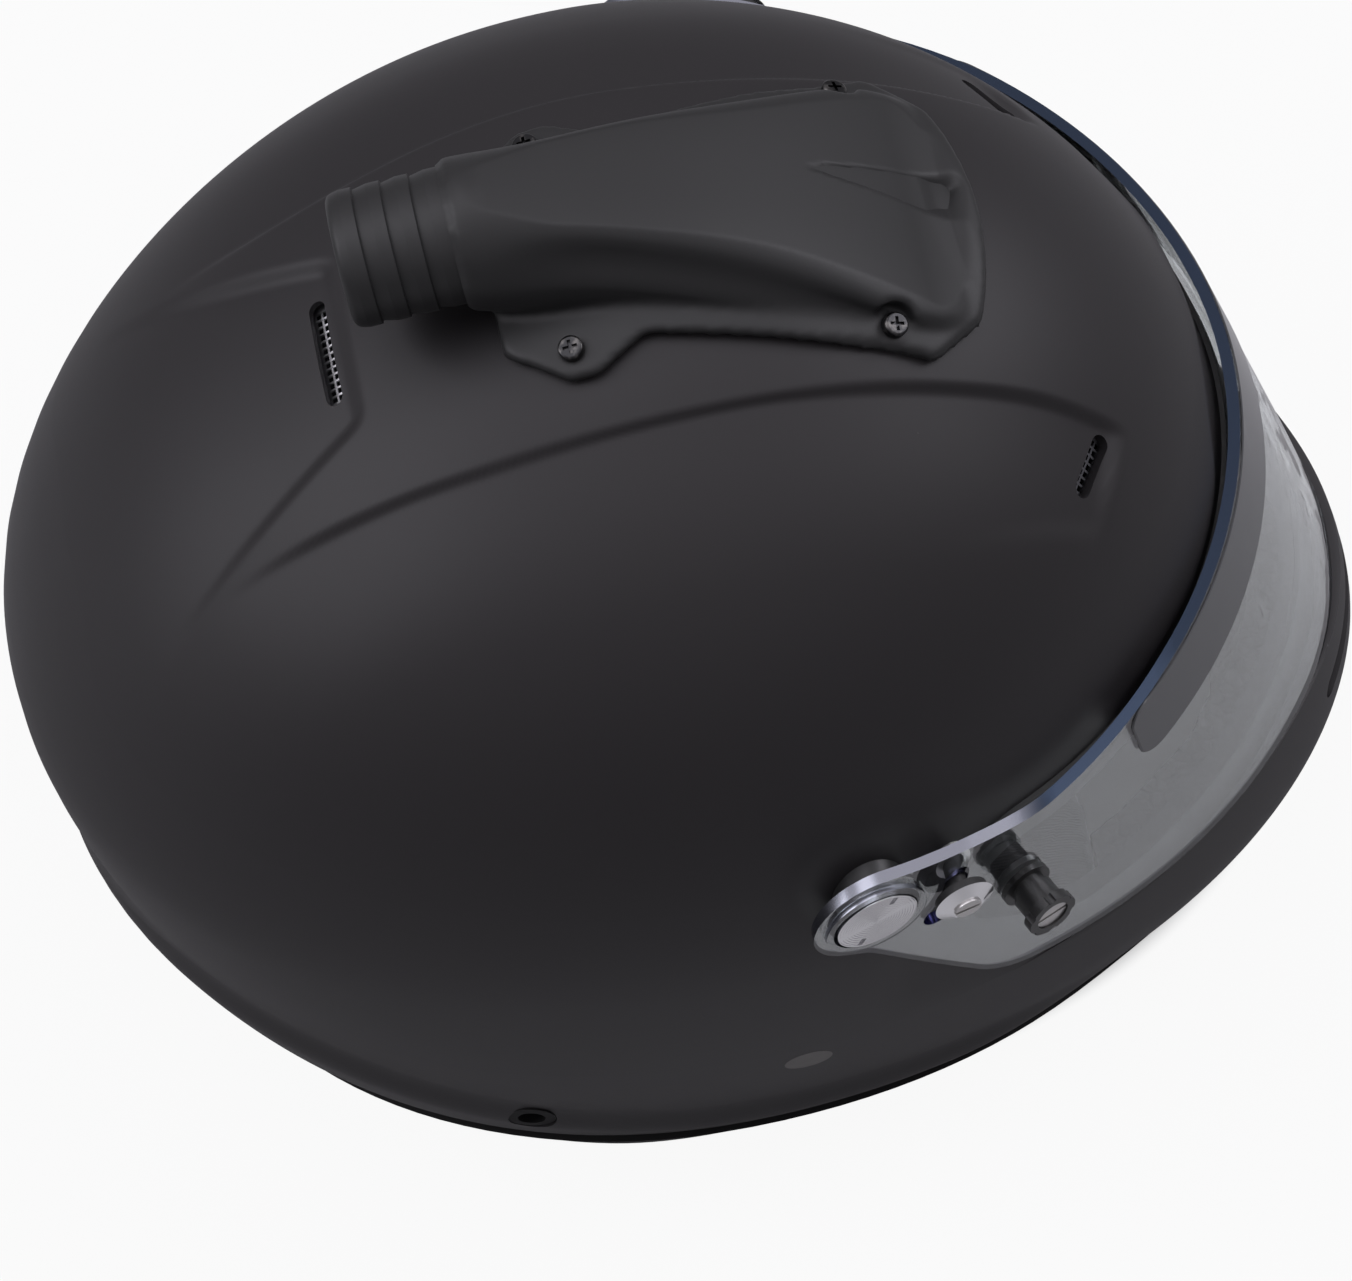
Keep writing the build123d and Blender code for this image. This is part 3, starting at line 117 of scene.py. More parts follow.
class Shader:
    """The nodes of a material or of the surround."""

    def __init__(self, owner):
        owner.use_nodes = True
        self.owner = owner
        self.tree = owner.node_tree
        self.tree.nodes.clear()

    def node(self, kind, settings=None, sockets=None, output=0):
        """A node of this type with its settings and the values or links of its sockets."""
        made = self.tree.nodes.new(kind)
        for name, value in (settings or {}).items():
            setattr(made, name, value)
        for name, value in (sockets or {}).items():
            if isinstance(value, Wire):
                self.tree.links.new(value.socket, made.inputs[name])
            else:
                made.inputs[name].default_value = value
        return Wire(self, made.outputs[output])

    def place(self):
        """Where a point of the surface lies in the frame, in metres."""
        return self.node("ShaderNodeTexCoord", output="Object")

    def apart(self, vector):
        """The three parts of a vector."""
        made = self.node("ShaderNodeSeparateXYZ", sockets={0: vector})
        return [Wire(self, part) for part in made.socket.node.outputs]

    def noise(self, scale, detail=2.0):
        """Soft random cloud from 0 to 1, with this many patches to the metre."""
        values = {"Vector": self.place(), "Scale": scale, "Detail": detail}
        return self.node("ShaderNodeTexNoise", sockets=values)

    def mix(self, share, first, second):
        """A colour between two others."""
        sockets = {0: share, 6: first, 7: second}
        return self.node("ShaderNodeMix", {"data_type": "RGBA"}, sockets, 2)

    def bump(self, height, depth, strength=1.0):
        """A surface that tilts as a height map from 0 to 1 over this depth in metres."""
        values = {"Height": height, "Distance": depth, "Strength": strength}
        return self.node("ShaderNodeBump", sockets=values)

    def finish(self, sockets):
        """A Principled surface with these sockets, as the material's output."""
        self.node_out(self.node("ShaderNodeBsdfPrincipled", sockets=sockets))
        return self.owner

    def node_out(self, surface, kind="ShaderNodeOutputMaterial"):
        """Links a finished surface to the output."""
        made = self.tree.nodes.new(kind)
        self.tree.links.new(surface.socket, made.inputs["Surface"])


def rays_of(shader, *kinds):
    """1 for rays of these kinds, 0 for others."""
    total = shader.node("ShaderNodeLightPath", output=f"Is {kinds[0]} Ray")
    for kind in kinds[1:]:
        total = total + shader.node("ShaderNodeLightPath", output=f"Is {kind} Ray")
    return total.math("MINIMUM", 1.0)


surround = Shader(bpy.data.worlds.new("surround"))
shown = rays_of(surround, "Camera", "Transmission")
heading = surround.apart(surround.node("ShaderNodeTexCoord", output="Generated"))
mirrored = heading[2].ramp(*mirrored_span, mirrored_low, mirrored_high)
mirrored = mirrored * rays_of(surround, "Glossy")
light = (shown + mirrored * (1 - shown)).math("MAXIMUM", surround_light)
surround_colour = surround.mix(shown, surround_tint, pure_white)
surround.node_out(
    surround.node("ShaderNodeBackground", sockets={"Color": surround_colour, "Strength": light}),
    "ShaderNodeOutputWorld",
)
bpy.context.scene.world = surround.owner
bpy.context.scene.view_settings.view_transform = "Standard"

paper = Shader(bpy.data.materials.new("floor_paper"))
floor_colour = (floor_white, floor_white, floor_white, 1)
lit = paper.node("ShaderNodeBsdfDiffuse", sockets={"Color": floor_colour})
white = paper.node("ShaderNodeEmission", sockets={"Color": pure_white, "Strength": 1.0})
floor_spot = paper.apart(paper.place())
aside = floor_spot[0] / footprint[0]
ahead = (floor_spot[1] - footprint_middle) / footprint[1]
beyond_helmet = (aside**2.0 + ahead**2.0).ramp(*footprint_fade)
white_share = rays_of(paper, "Camera", "Transmission") * beyond_helmet * floor_shown
paper.node_out(paper.node("ShaderNodeMixShader", sockets={0: white_share, 1: lit, 2: white}))


def link(name, mesh, material):
    """Puts a mesh in the scene as an object at the origin."""
    made = bpy.data.objects.new(name, mesh)
    mesh.materials.append(material)
    bpy.context.scene.collection.objects.link(made)
    return made


ground = bpy.data.meshes.new("floor")
floor_corners = [
    (x * floor_reach, y * floor_reach, floor_level) for x, y in ((-1, -1), (1, -1), (1, 1), (-1, 1))
]
ground.from_pydata(floor_corners, [], [(0, 1, 2, 3)])
link("floor", ground, paper.owner)

for name, place, size, power in lamps:
    lamp = bpy.data.lights.new(name, "AREA")
    lamp.shape = "DISK"
    lamp.size = size
    lamp.energy = power
    lamp.color = lamp_tint
    holder = bpy.data.objects.new(name, lamp)
    aim = (Vector(lamp_aim) - Vector(place)).to_track_quat("-Z", "Y")
    holder.matrix_world = Matrix.Translation(place) @ aim.to_matrix().to_4x4()
    bpy.context.scene.collection.objects.link(holder)

view = bpy.data.cameras.new("camera")
view.sensor_width = camera_sensor
view.lens = camera_lens
camera = bpy.data.objects.new("camera", view)
camera_turn = Matrix((camera_right, camera_up, camera_back)).transposed().to_4x4()
camera.matrix_world = Matrix.Translation(camera_place) @ camera_turn
bpy.context.scene.collection.objects.link(camera)
bpy.context.scene.camera = camera

# Outer shell: a laminate 4 mm thick with a soft matt black coat. A step runs back along each side
# of the crown, and shallow pockets lie round the brow vents and the rear vent. It is worked out in
# millimetres about the crown's axis, and the vents and screw holes are then cut through it.
millimetre = 0.001
axis_shift = 8.75
# The form: its belt and crown, how far it reaches there, and the powers of its curves
belt = 128.0
crown = 265.0
belt_half = 130.5
rear_reach = 165.0
brow_reach = 145.0
brow_level = 185.0
chin_reach = 182.5
chin_level = 50.0
rear_power = 2.10
front_power = 1.93
side_arch = 2.0
rear_arch = 1.63
brow_arch = 2.09
# The skirt: drawn in towards the foot, and pushed out under a crease that rises to the rear
foot_narrows = 0.217
narrows_power = 2.256
foot_shortens = 0.218
shortens_power = 1.618
chin_tuck = 19.5
chin_climb = 1.35
crease_low = 37.5
crease_rise = 51.2
crease_start = -20.0
crease_run = 185.0
crease_power = 1.2
flare_out = 3.8
flare_drop = 14.0
flare_start = -110.0
flare_run = 60.0
# The wall, and the recess that the visor lies in
shell_wall = 4.0
shell_foot = 1.6
recess_side = 4.9
recess_depth = 7.0
recess_rear = -30.0
recess_fade = 6.0
visor_half = 134.4
visor_reach = 144.4
visor_top = 171.0
visor_slope = 0.3226
ear_slope = 0.23
edge_round = 0.5
# Eye port seen from the front: distance from the middle, and the height of its lip and its sill
lip_points = (
    (0, 180), (14, 180), (27, 177.1), (41, 170.5), (53, 168), (68, 166), (82, 166), (140, 166)
)
sill_points = (
    (0, 73), (14.4, 73.5), (33.9, 75.6), (44.4, 78.1), (56.1, 80.4), (74.4, 82.3), (95.3, 84.5),
    (140, 84.5)
)
# Distance back of the crown's axis, and the step's distance from the middle there
ridge_points = (
    (-110, 43.7), (-101, 43.4), (-89, 42.6), (-65, 42.8), (-30, 43.7), (17, 45.2), (40, 44.6),
    (64, 42.9), (88, 41.8), (112, 42.0)
)
# The steps: how deep, how steep, where they start and end, and how they die out
ridge_depth = 1.8
ridge_wall = 2.4
ridge_front = -108.0
ridge_front_run = 8.0
ridge_rear = 112.0
ridge_rear_run = 34.0
ridge_fall = 0.25
ridge_fall_start = -90.0
ridge_fall_run = 160.0
ridge_spread = 34.0
# Pockets round the brow vents, and the scoop before the rear vent
pocket_depth = 2.1
pocket_wall = 4.0
pocket_corner = (43.7, -108.7)
pocket_rake = 0.494
pocket_side = (68.8, -96.3)
pocket_splay = 0.225
pocket_start = -92.0
pocket_run = 42.0
scoop_depth = 2.2
scoop_wall = 5.0
scoop_half = 24.0
scoop_middle = 69.0
scoop_splay = 0.439
scoop_front = 67.0
scoop_front_run = 6.0
scoop_rear = 88.0
scoop_rear_run = 44.0
steps_level = 186.0
steps_fade = 8.0
# Rows and columns of the mesh, closer where the steps run
columns = 360
inner_rows = 16
step_angle = 27.0
step_angle_spread = 13.0
step_columns = 1.4
step_climb = 0.64
step_climb_spread = 0.17
step_rows = 1.8
low_rows = 32
band_rows = 12
top_rows = 124
lip_nick = 0.1
lip_give = 0.05
sharp_edge = 35.0
merge_gap = 2e-6
# Vents, holes and the eye port's sides: place, size, and how far in and out each cut reaches
brow_vent = (54.5, -97.5)
brow_vent_turn = 28.0
brow_vent_size = (17.0, 5.0)
rear_vent = (0, 75.5)
rear_vent_size = (29.0, 4.5)
vent_cut = (-12, 6)
chin_vent_level = 62.0
chin_vent_size = (96.0, 7.0)
chin_vent_cut = (-24, 12)
side_holes = (("restraint_anchor", 6.2), ("anchor_cap", 6.2), ("tension_insert", 4.5))
side_hole_cut = (-14, 12)
side_hole_splay = 420.0
hole_flat = 0.002
port_corners = ((-220, 91), (-220, 156), (-50, 156), (-50, 131), (-80, 103.5))
port_round = 16.0
port_half = 140


def even(share):
    """A step from 0 to 1 with level ends: 3s^2 - 2s^3 between them."""
    share = np.clip(share, 0, 1)
    return share * share * (3 - 2 * share)


def through(points, at):
    """A curve through points: on each span a cubic whose end slopes follow the neighbours."""
    x, y = np.array(points, float).T
    slope = np.gradient(y, x)
    span = np.clip(np.searchsorted(x, at) - 1, 0, len(x) - 2)
    width = x[span + 1] - x[span]
    t = np.clip((at - x[span]) / width, 0, 1)
    rise = y[span] + (y[span + 1] - y[span]) * (3 * t**2 - 2 * t**3)
    return rise + width * (slope[span] * t * (1 - t) ** 2 - slope[span + 1] * t**2 * (1 - t))


def arch(height, top, power):
    """The share of the belt's size left above it: (1 - s^p)^(1/p), s from 0 there to 1 on top."""
    share = np.clip((height - belt) / (top - belt), 0, 1)
    return (1 - share**power) ** (1 / power)


def under_belt(height, share, power):
    """The share of the belt's size left under it: 1 - k s^p, s from 0 there to 1 at the foot."""
    return 1 - share * (np.clip(belt - height, 0, None) / belt) ** power


def half_width(height, inset):
    """Half the width at a height: the belt's, arched over it and drawn in under it."""
    high = (belt_half - inset) * arch(height, crown - inset, side_arch)
    low = belt_half * under_belt(height, foot_narrows, narrows_power) - inset
    return np.where(height >= belt, high, low)


def rear_length(height, inset):
    """How far back the form reaches at a height: the belt's reach, arched over and drawn in."""
    high = (rear_reach - inset) * arch(height, crown - inset, rear_arch)
    low = rear_reach * under_belt(height, foot_shortens, shortens_power) - inset
    return np.where(height >= belt, high, low)


def front_length(height, inset):
    """How far forward: an arch over the brow, chin + (brow - chin) s^p under it, less the tuck."""
    high = (brow_reach - inset) * arch(height, crown - inset, brow_arch)
    brow = (brow_reach - inset) * arch(brow_level, crown - inset, brow_arch)
    climb = np.clip((height - chin_level) / (brow_level - chin_level), 0, 1)
    tuck = chin_tuck * np.clip((chin_level - height) / chin_level, 0, None) ** 2
    middle = chin_reach - inset - tuck + (brow - chin_reach + inset) * climb**chin_climb
    return np.where(height >= brow_level, high, middle)


def form(turn, height, inset):
    """The head's form: x = w sin^(2/n), y = l cos^(2/n), the skirt pushed out under its crease."""
    across, along = np.sin(turn), np.cos(turn)
    power = np.where(along > 0, rear_power, front_power)
    length = np.where(along > 0, rear_length(height, inset), front_length(height, inset))
    x = half_width(height, inset) * np.sign(across) * np.abs(across) ** (2 / power)
    y = length * np.sign(along) * np.abs(along) ** (2 / power)
    crease = crease_low + crease_rise * even((y - crease_start) / crease_run) ** crease_power
    out = flare_out * even((crease - height) / flare_drop) * even((y - flare_start) / flare_run)
    grow = 1 + out / np.maximum(np.hypot(x, y), 1)
    return x * grow, y * grow


def recess_share(x, y, height, inset):
    """How far from the axis the visor's recess lies, as a share of the form, and 1 outside it.

    In plan it is a rounded oval, |x/w|^n + |y/l|^n = 1, up to where a straight ear touches it.
    """
    half = visor_half - recess_side - inset
    length = visor_reach + (visor_top - height) * visor_slope - recess_depth - inset
    total = (np.abs(x) / half) ** front_power + (np.abs(y) / length) ** front_power
    round_share = total ** (-1 / front_power)
    turn = np.arctan2(1, (ear_slope * length / half) ** (1 / (2 - 2 / front_power)))
    touch_x = half * np.sin(turn) ** (2 / front_power)
    touch_y = -length * np.cos(turn) ** (2 / front_power)
    straight = (touch_x - ear_slope * touch_y) / np.maximum(np.abs(x) - ear_slope * y, 1)
    share = np.where(y * round_share < touch_y, round_share, straight)
    fade = even((recess_rear - y) / recess_fade)
    return np.where(y < 0, 1 + (np.minimum(share, 1) - 1) * fade, 1.0)


def carving(x, y):
    """Depth of the crown's steps and pockets under the plain form, seen from above.

    Each is its depth times a soft step from 0 to 1 over each wall and a soft fade at each end.
    """
    side = np.abs(x)
    beyond = side - through(ridge_points, y)
    outboard = even(beyond / ridge_wall)
    ends = even((y - ridge_front) / ridge_front_run) * even((ridge_rear - y) / ridge_rear_run)
    fall = 1 - ridge_fall * even((y - ridge_fall_start) / ridge_fall_run)
    step = ridge_depth * fall * outboard * ends
    step = step * (1 - even((beyond - ridge_wall) / ridge_spread))
    forward = (y - pocket_corner[1]) - (side - pocket_corner[0]) * pocket_rake
    edge = pocket_side[0] + (y - pocket_side[1]) * pocket_splay - side
    wall = even(forward / pocket_wall) * even(edge / pocket_wall)
    behind = even((y - pocket_start) / pocket_run)
    pocket = (pocket_depth - ridge_depth) * wall * outboard * (1 - behind)
    step = step * (wall + (1 - wall) * behind)
    inside = scoop_half + (y - scoop_middle) * scoop_splay - side
    scoop = scoop_depth * even(inside / scoop_wall) * even((y - scoop_front) / scoop_front_run)
    scoop = scoop * (1 - even((y - scoop_rear) / scoop_rear_run))
    return step + pocket + scoop


def spaced(fine, density, count, endpoint=True):
    """Places that lie closer together where the density is higher: equal shares of its sum."""
    total = np.concatenate([[0], np.cumsum((density[1:] + density[:-1]) / 2)])
    return np.interp(np.linspace(0, total[-1], count, endpoint=endpoint), total, fine)


def crown_columns():
    """Angles all round, closer together where the crown's steps are crossed."""
    fine = np.linspace(0, 2 * np.pi, 4000)
    off = np.degrees(np.abs(np.arcsin(np.abs(np.sin(fine)))))
    density = 1 + step_columns * np.exp(-(((off - step_angle) / step_angle_spread) ** 2))
    return spaced(fine, density, columns, endpoint=False)


def edge_height(turn, points, grow, inset):
    """Height at which the form crosses an outline that is drawn in front view."""
    height = np.full(turn.shape, points[0][1] + grow, float)
    for _ in range(8):
        x, _ = form(turn, height, inset)
        height = through(points, np.abs(x)) + grow
    return height


def crown_steps(count):
    """Shares of the climb from the lip to the crown, closer together where the steps run."""
    fine = np.linspace(0, 1, 2000)
    density = 1 + step_rows * np.exp(-(((fine - step_climb) / step_climb_spread) ** 2))
    return spaced(fine, density, count)


def shell_rows(turn, inset, low, band, top):
    """Rows of the shell's skin from its foot to its crown, with the recess between sill and lip.

    Rows are even up to the sill and across the recess, and climb the crown as a sine does.
    """
    sill = edge_height(turn, sill_points, -inset, inset)
    lip = edge_height(turn, lip_points, inset, inset)
    climb = sill - edge_round - shell_foot
    heights = [shell_foot + climb * t for t in np.linspace(0, 1, low)]
    inward = [0.0] * low
    edge = ((lip_nick, 0.15), (lip_nick, 0.85), (edge_round, 1.0))
    for drop, share in edge:
        heights.append(sill - lip_give + drop * share)
        inward.append(share)
    climb = lip - sill - edge_round * 4
    heights += [sill + edge_round * 2 + climb * t for t in np.linspace(0, 1, band)]
    inward += [1.0] * band
    for drop, share in edge[::-1]:
        heights.append(lip + lip_give - drop * share)
        inward.append(share)
    peak = crown - inset
    start = np.arcsin((lip + edge_round - belt) / (peak - belt))
    for t in crown_steps(top):
        heights.append(belt + (peak - belt) * np.sin(start + (np.pi / 2 - start) * t))
    inward += [0.0] * top
    height = np.array(heights)
    x, y = form(turn[None, :], height, inset)
    share = 1 + (recess_share(x, y, height, inset) - 1) * np.array(inward)[:, None]
    return np.stack([x * share, y * share, height], axis=2)


def outward(points):
    """Unit normals of a grid of rows that wind round the axis."""
    along = np.gradient(points, axis=0)
    across = np.roll(points, -1, axis=1) - np.roll(points, 1, axis=1)
    normal = np.cross(along, across)
    return normal / np.maximum(np.linalg.norm(normal, axis=2, keepdims=True), 1e-9)


def wrapped_mesh(name, points):
    """A mesh from rows of points in millimetres, each row closed on itself, placed in the frame."""
    rows, count = points.shape[:2]
    place = points.reshape(-1, 3) * millimetre
    place[:, 1] += axis_shift * millimetre
    index = np.arange(rows * count).reshape(rows, count)
    after = np.roll(index, -1, axis=1)
    faces = np.stack([index[:-1], index[1:], after[1:], after[:-1]], axis=2).reshape(-1, 4)
    mesh = bpy.data.meshes.new(name)
    mesh.from_pydata(place.tolist(), [], faces.tolist())
    return mesh


def closed(mesh, sharp=sharp_edge):
    """Merges the points that meet, turns the faces outward and keeps edges over an angle sharp."""
    work = bmesh.new()
    work.from_mesh(mesh)
    bmesh.ops.remove_doubles(work, verts=work.verts, dist=merge_gap)
    bmesh.ops.recalc_face_normals(work, faces=work.faces)
    work.to_mesh(mesh)
    work.free()
    mesh.shade_smooth()
    mesh.set_sharp_from_angle(angle=math.radians(sharp))
    return mesh


def height_over(x, y):
    """Height of the form over a point of its plan, by halving."""
    low, high = belt, crown
    power = rear_power if y > 0 else front_power
    for _ in range(40):
        middle = (low + high) / 2
        length = rear_length(middle, 0) if y > 0 else front_length(middle, 0)
        across = (abs(x) / max(half_width(middle, 0), 1e-6)) ** power
        inside = across + (abs(y) / max(length, 1e-6)) ** power < 1
        low, high = (middle, high) if inside else (low, middle)
    return low


def crown_frame(x, y, turn):
    """Axes of a place on the crown: its point, and across, along and out of the form."""
    here, rear, front, left, right = (
        Vector((x + dx, y + dy, height_over(x + dx, y + dy)))
        for dx, dy in ((0, 0), (0, 1), (0, -1), (1, 0), (-1, 0))
    )
    out = (left - right).cross(rear - front).normalized()
    across = Vector((math.cos(turn), math.sin(turn), 0))
    across = (across - out * across.dot(out)).normalized()
    return here, across, out.cross(across), out


def bar(place, across, along, out, length, width, low, high, steps=10):
    """A bar of slot-shaped section along a direction, as the points and faces of a closed solid."""
    half = (length - width) / 2
    arc = np.linspace(-np.pi / 2, np.pi / 2, steps)
    angle = np.concatenate([arc, np.linspace(np.pi / 2, 3 * np.pi / 2, steps)])
    shift = np.repeat([half, -half], steps)
    u = np.cos(angle) * width / 2 + shift
    v = np.sin(angle) * width / 2
    across, along, out = (np.array(vector) for vector in (across, along, out))
    ring = np.array(place) + u[:, None] * across + v[:, None] * along
    count = len(u)
    points = np.concatenate([ring + out * low, ring + out * high])
    faces = [(i, (i + 1) % count, (i + 1) % count + count, i + count) for i in range(count)]
    return points, faces + [tuple(range(count))[::-1], tuple(range(count, 2 * count))]


def corner_arc(before, here, after, radius, steps):
    """Points of the arc that rounds a corner: it touches both sides, each end weighed by a sine."""
    one = (before - here) / np.linalg.norm(before - here)
    two = (after - here) / np.linalg.norm(after - here)
    half = math.acos(np.clip(one @ two, -1, 1)) / 2
    centre = here + (one + two) / np.linalg.norm(one + two) * radius / math.sin(half)
    start = here + one * radius / math.tan(half) - centre
    end = here + two * radius / math.tan(half) - centre
    sweep = math.acos(np.clip(start @ end / radius**2, -1, 1))
    return [
        centre + (start * math.sin((1 - t) * sweep) + end * math.sin(t * sweep)) / math.sin(sweep)
        for t in np.linspace(0, 1, steps)
    ]


def rounded(corners, radius, steps=7):
    """A closed outline with an arc at each corner, as an array of points."""
    corners = [np.array(corner, float) for corner in corners]
    outline = []
    for before, here, after in zip(corners[-1:] + corners[:-1], corners, corners[1:] + corners[:1]):
        outline += corner_arc(before, here, after, radius, steps)
    return np.array(outline)


turns = crown_columns()
outer_rows = shell_rows(turns, 0.0, low_rows, band_rows, top_rows)
lowered = even((outer_rows[:, :, 2] - steps_level) / steps_fade)
lowered = lowered * carving(outer_rows[:, :, 0], outer_rows[:, :, 1])
outer_rows -= outward(outer_rows) * lowered[:, :, None]
inside_rows = shell_rows(turns, shell_wall, inner_rows, inner_rows, inner_rows)[::-1]
shell_mesh = closed(wrapped_mesh("shell", np.concatenate([inside_rows, outer_rows])))

cut_points = []
cut_faces = []


def cut(points, faces):
    """Adds a solid to the tools that cut the shell."""
    start = sum(len(part) for part in cut_points)
    cut_points.append(np.array(points))
    cut_faces.extend(tuple(start + corner for corner in face) for face in faces)


port = rounded(port_corners, port_round)
count = len(port)
port_ends = [np.column_stack([np.full(count, x), port]) for x in (-port_half, port_half)]
walls = [(i, (i + 1) % count, (i + 1) % count + count, i + count) for i in range(count)]
walls += [tuple(range(count))[::-1], tuple(range(count, 2 * count))]
cut(np.concatenate(port_ends), walls)
leftward = Vector((1, 0, 0))
upward = Vector((0, 0, 1))
forward = Vector((0, -1, 0))
for side in (1, -1):
    brow_place = (brow_vent[0] * side, brow_vent[1], math.radians(brow_vent_turn) * side)
    cut(*bar(*crown_frame(*brow_place), *brow_vent_size, *vent_cut))
    for node, radius in side_holes:
        low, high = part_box(f"{node}_{'left' if side > 0 else 'right'}")
        centre = (low + high) * (0.5 / millimetre)
        centre.y -= axis_shift
        sideways = leftward * side
        if node != "tension_insert":
            sideways = (sideways - forward * centre.y / side_hole_splay).normalized()
        width = 2 * radius
        along = sideways.cross(upward)
        cut(*bar(centre, upward, along, sideways, width + hole_flat, width, *side_hole_cut))
cut(*bar(*crown_frame(*rear_vent, 0), *rear_vent_size, *vent_cut))
chin_face = Vector((0, -front_length(chin_vent_level, 0), chin_vent_level))
cut(*bar(chin_face, leftward, upward, forward, *chin_vent_size, *chin_vent_cut))
tool_place = np.concatenate(cut_points) * millimetre
tool_place[:, 1] += axis_shift * millimetre
tool_mesh = bpy.data.meshes.new("shell_tools")
tool_mesh.from_pydata(tool_place.tolist(), [], cut_faces)
closed(tool_mesh)
tools = bpy.data.objects.new("shell_tools", tool_mesh)
bpy.context.scene.collection.objects.link(tools)


def cut_away(piece, tool):
    """Applies a cut to a piece and drops the tool."""
    modifier = piece.modifiers.new("cut", "BOOLEAN")
    modifier.operation = "DIFFERENCE"
    modifier.solver = "EXACT"
    modifier.object = tool
    ready = piece.evaluated_get(bpy.context.evaluated_depsgraph_get())
    mesh = bpy.data.meshes.new_from_object(ready)
    piece.modifiers.clear()
    piece.data = mesh
    bpy.data.objects.remove(tool)
    mesh.shade_smooth()
    mesh.set_sharp_from_angle(angle=math.radians(sharp_edge))


coat_dark = (0.0092, 0.0080, 0.0094, 1)
coat_light = (0.0122, 0.0108, 0.0112, 1)
dust_colour = (0.22, 0.21, 0.20, 1)
dust_patches = 55.0
coat = Shader(bpy.data.materials.new("shell_coat"))
grain = coat.noise(2600.0, 1.0)
cloud = coat.noise(9.0, 3.0)
speck = coat.node("ShaderNodeTexVoronoi", sockets={"Vector": coat.place(), "Scale": dust_patches})
dust = speck.ramp(0.008, 0.016, 1.0, 0.0) * coat.noise(14.0, 1.0).ramp(0.55, 0.6)
shell_coat = coat.finish(
    {
        "Base Color": coat.mix(dust * 0.55, coat.mix(cloud, coat_dark, coat_light), dust_colour),
        "Roughness": cloud * 0.06 + 0.47 + grain * 0.04,
        "Specular IOR Level": 0.36,
        "Normal": coat.bump(grain, 0.00002, 0.5),
    }
)
shell = link("shell", shell_mesh, shell_coat)
cut_away(shell, tools)
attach(shell, "helmet")
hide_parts("outer_shell")

# Edge trim and gaskets: smooth black rubber. The trim is pushed on to the shell's lower edge, and
# the gaskets lie bonded in the eye port and under the air inlet.
rubber_dark = (0.010, 0.010, 0.010, 1)
rubber_light = (0.016, 0.016, 0.016, 1)
rubber = Shader(bpy.data.materials.new("black_rubber"))
skin = rubber.noise(900.0, 2.0)
black_rubber = rubber.finish(
    {
        "Base Color": rubber.mix(skin, rubber_dark, rubber_light),
        "Roughness": skin * 0.12 + 0.48,
        "Specular IOR Level": 0.4,
        "Normal": rubber.bump(skin, 0.00004, 0.4),
    }
)


def dress(material, *names):
    """Gives CAD nodes a finish."""
    for name in names:
        mesh = nodes[name].data
        mesh.materials.clear()
        mesh.materials.append(material)


dress(black_rubber, "bottom_trim", "eyeport_gasket", "top_air_gasket")
dress(black_rubber, "tension_rubber_left", "tension_rubber_right")

# Impact and chin liners: black expanded foam, moulded to the shell's inside and pressed into it.
# Its beads, about 3 mm across, show as small shallow cells.
foam_seam = (0.012, 0.012, 0.012, 1)
foam_bead = (0.030, 0.030, 0.031, 1)
beads_to_metre = 330.0
foam = Shader(bpy.data.materials.new("liner_foam"))
beads = foam.node(
    "ShaderNodeTexVoronoi",
    {"feature": "DISTANCE_TO_EDGE"},
    {"Vector": foam.place(), "Scale": beads_to_metre},
)
liner_foam = foam.finish(
    {
        "Base Color": foam.mix(beads.ramp(0.0, 0.2), foam_seam, foam_bead),
        "Roughness": 0.72,
        "Normal": foam.bump(beads.ramp(0.0, 0.25), 0.0003, 0.6),
    }
)
dress(liner_foam, "impact_liner", "chin_bar_liner")

# Soft linings: black brushed knit over open foam, crowned between sewn channels. The comfort lining
# covers the foam liner, the cheek pads and the neck roll close the shell's lower edge.
lining_voxel = 0.004
lining_rounds = 8
lining_crown = 0.0012
channel_depth = 0.0016
channel_half = 0.0028
cap_seam_side = 0.030
cap_seam_back = 0.012
cap_seam_up = 0.012
pad_seam_rear = -0.002
pad_seam_front = -0.040
pad_seam_up = 0.062
roll_seam_turn = 24.0
crown_middle = Vector((0, axis_shift * millimetre, 0.14))
knit_dark = (0.010, 0.010, 0.011, 1)
knit_light = (0.026, 0.026, 0.028, 1)
knit_ribs = 420.0
knit = Shader(bpy.data.materials.new("lining_cloth"))
weave = knit.node(
    "ShaderNodeTexWave",
    {"wave_type": "BANDS"},
    {"Vector": knit.place(), "Scale": knit_ribs, "Distortion": 1.5},
)
lining_cloth = knit.finish(
    {
        "Base Color": knit.mix(weave, knit_dark, knit_light),
        "Roughness": 0.95,
        "Sheen Weight": 0.3,
        "Normal": knit.bump(weave, 0.0002, 0.5),
    }
)


def solid_copy(name, node):
    """A mesh with a CAD node's own shape, its points merged."""
    mesh = nodes[node].data.copy()
    mesh.name = name
    mesh.materials.clear()
    return closed(mesh)


def remeshed(piece, voxel, rounds):
    """Applies a fine even mesh and some rounds of smoothing, so that hard corners turn soft."""
    modifier = piece.modifiers.new("even", "REMESH")
    modifier.mode = "VOXEL"
    modifier.voxel_size = voxel
    modifier = piece.modifiers.new("soft", "SMOOTH")
    modifier.factor = 0.5
    modifier.iterations = rounds
    ready = piece.evaluated_get(bpy.context.evaluated_depsgraph_get())
    mesh = bpy.data.meshes.new_from_object(ready)
    piece.modifiers.clear()
    piece.data = mesh
    mesh.shade_smooth()


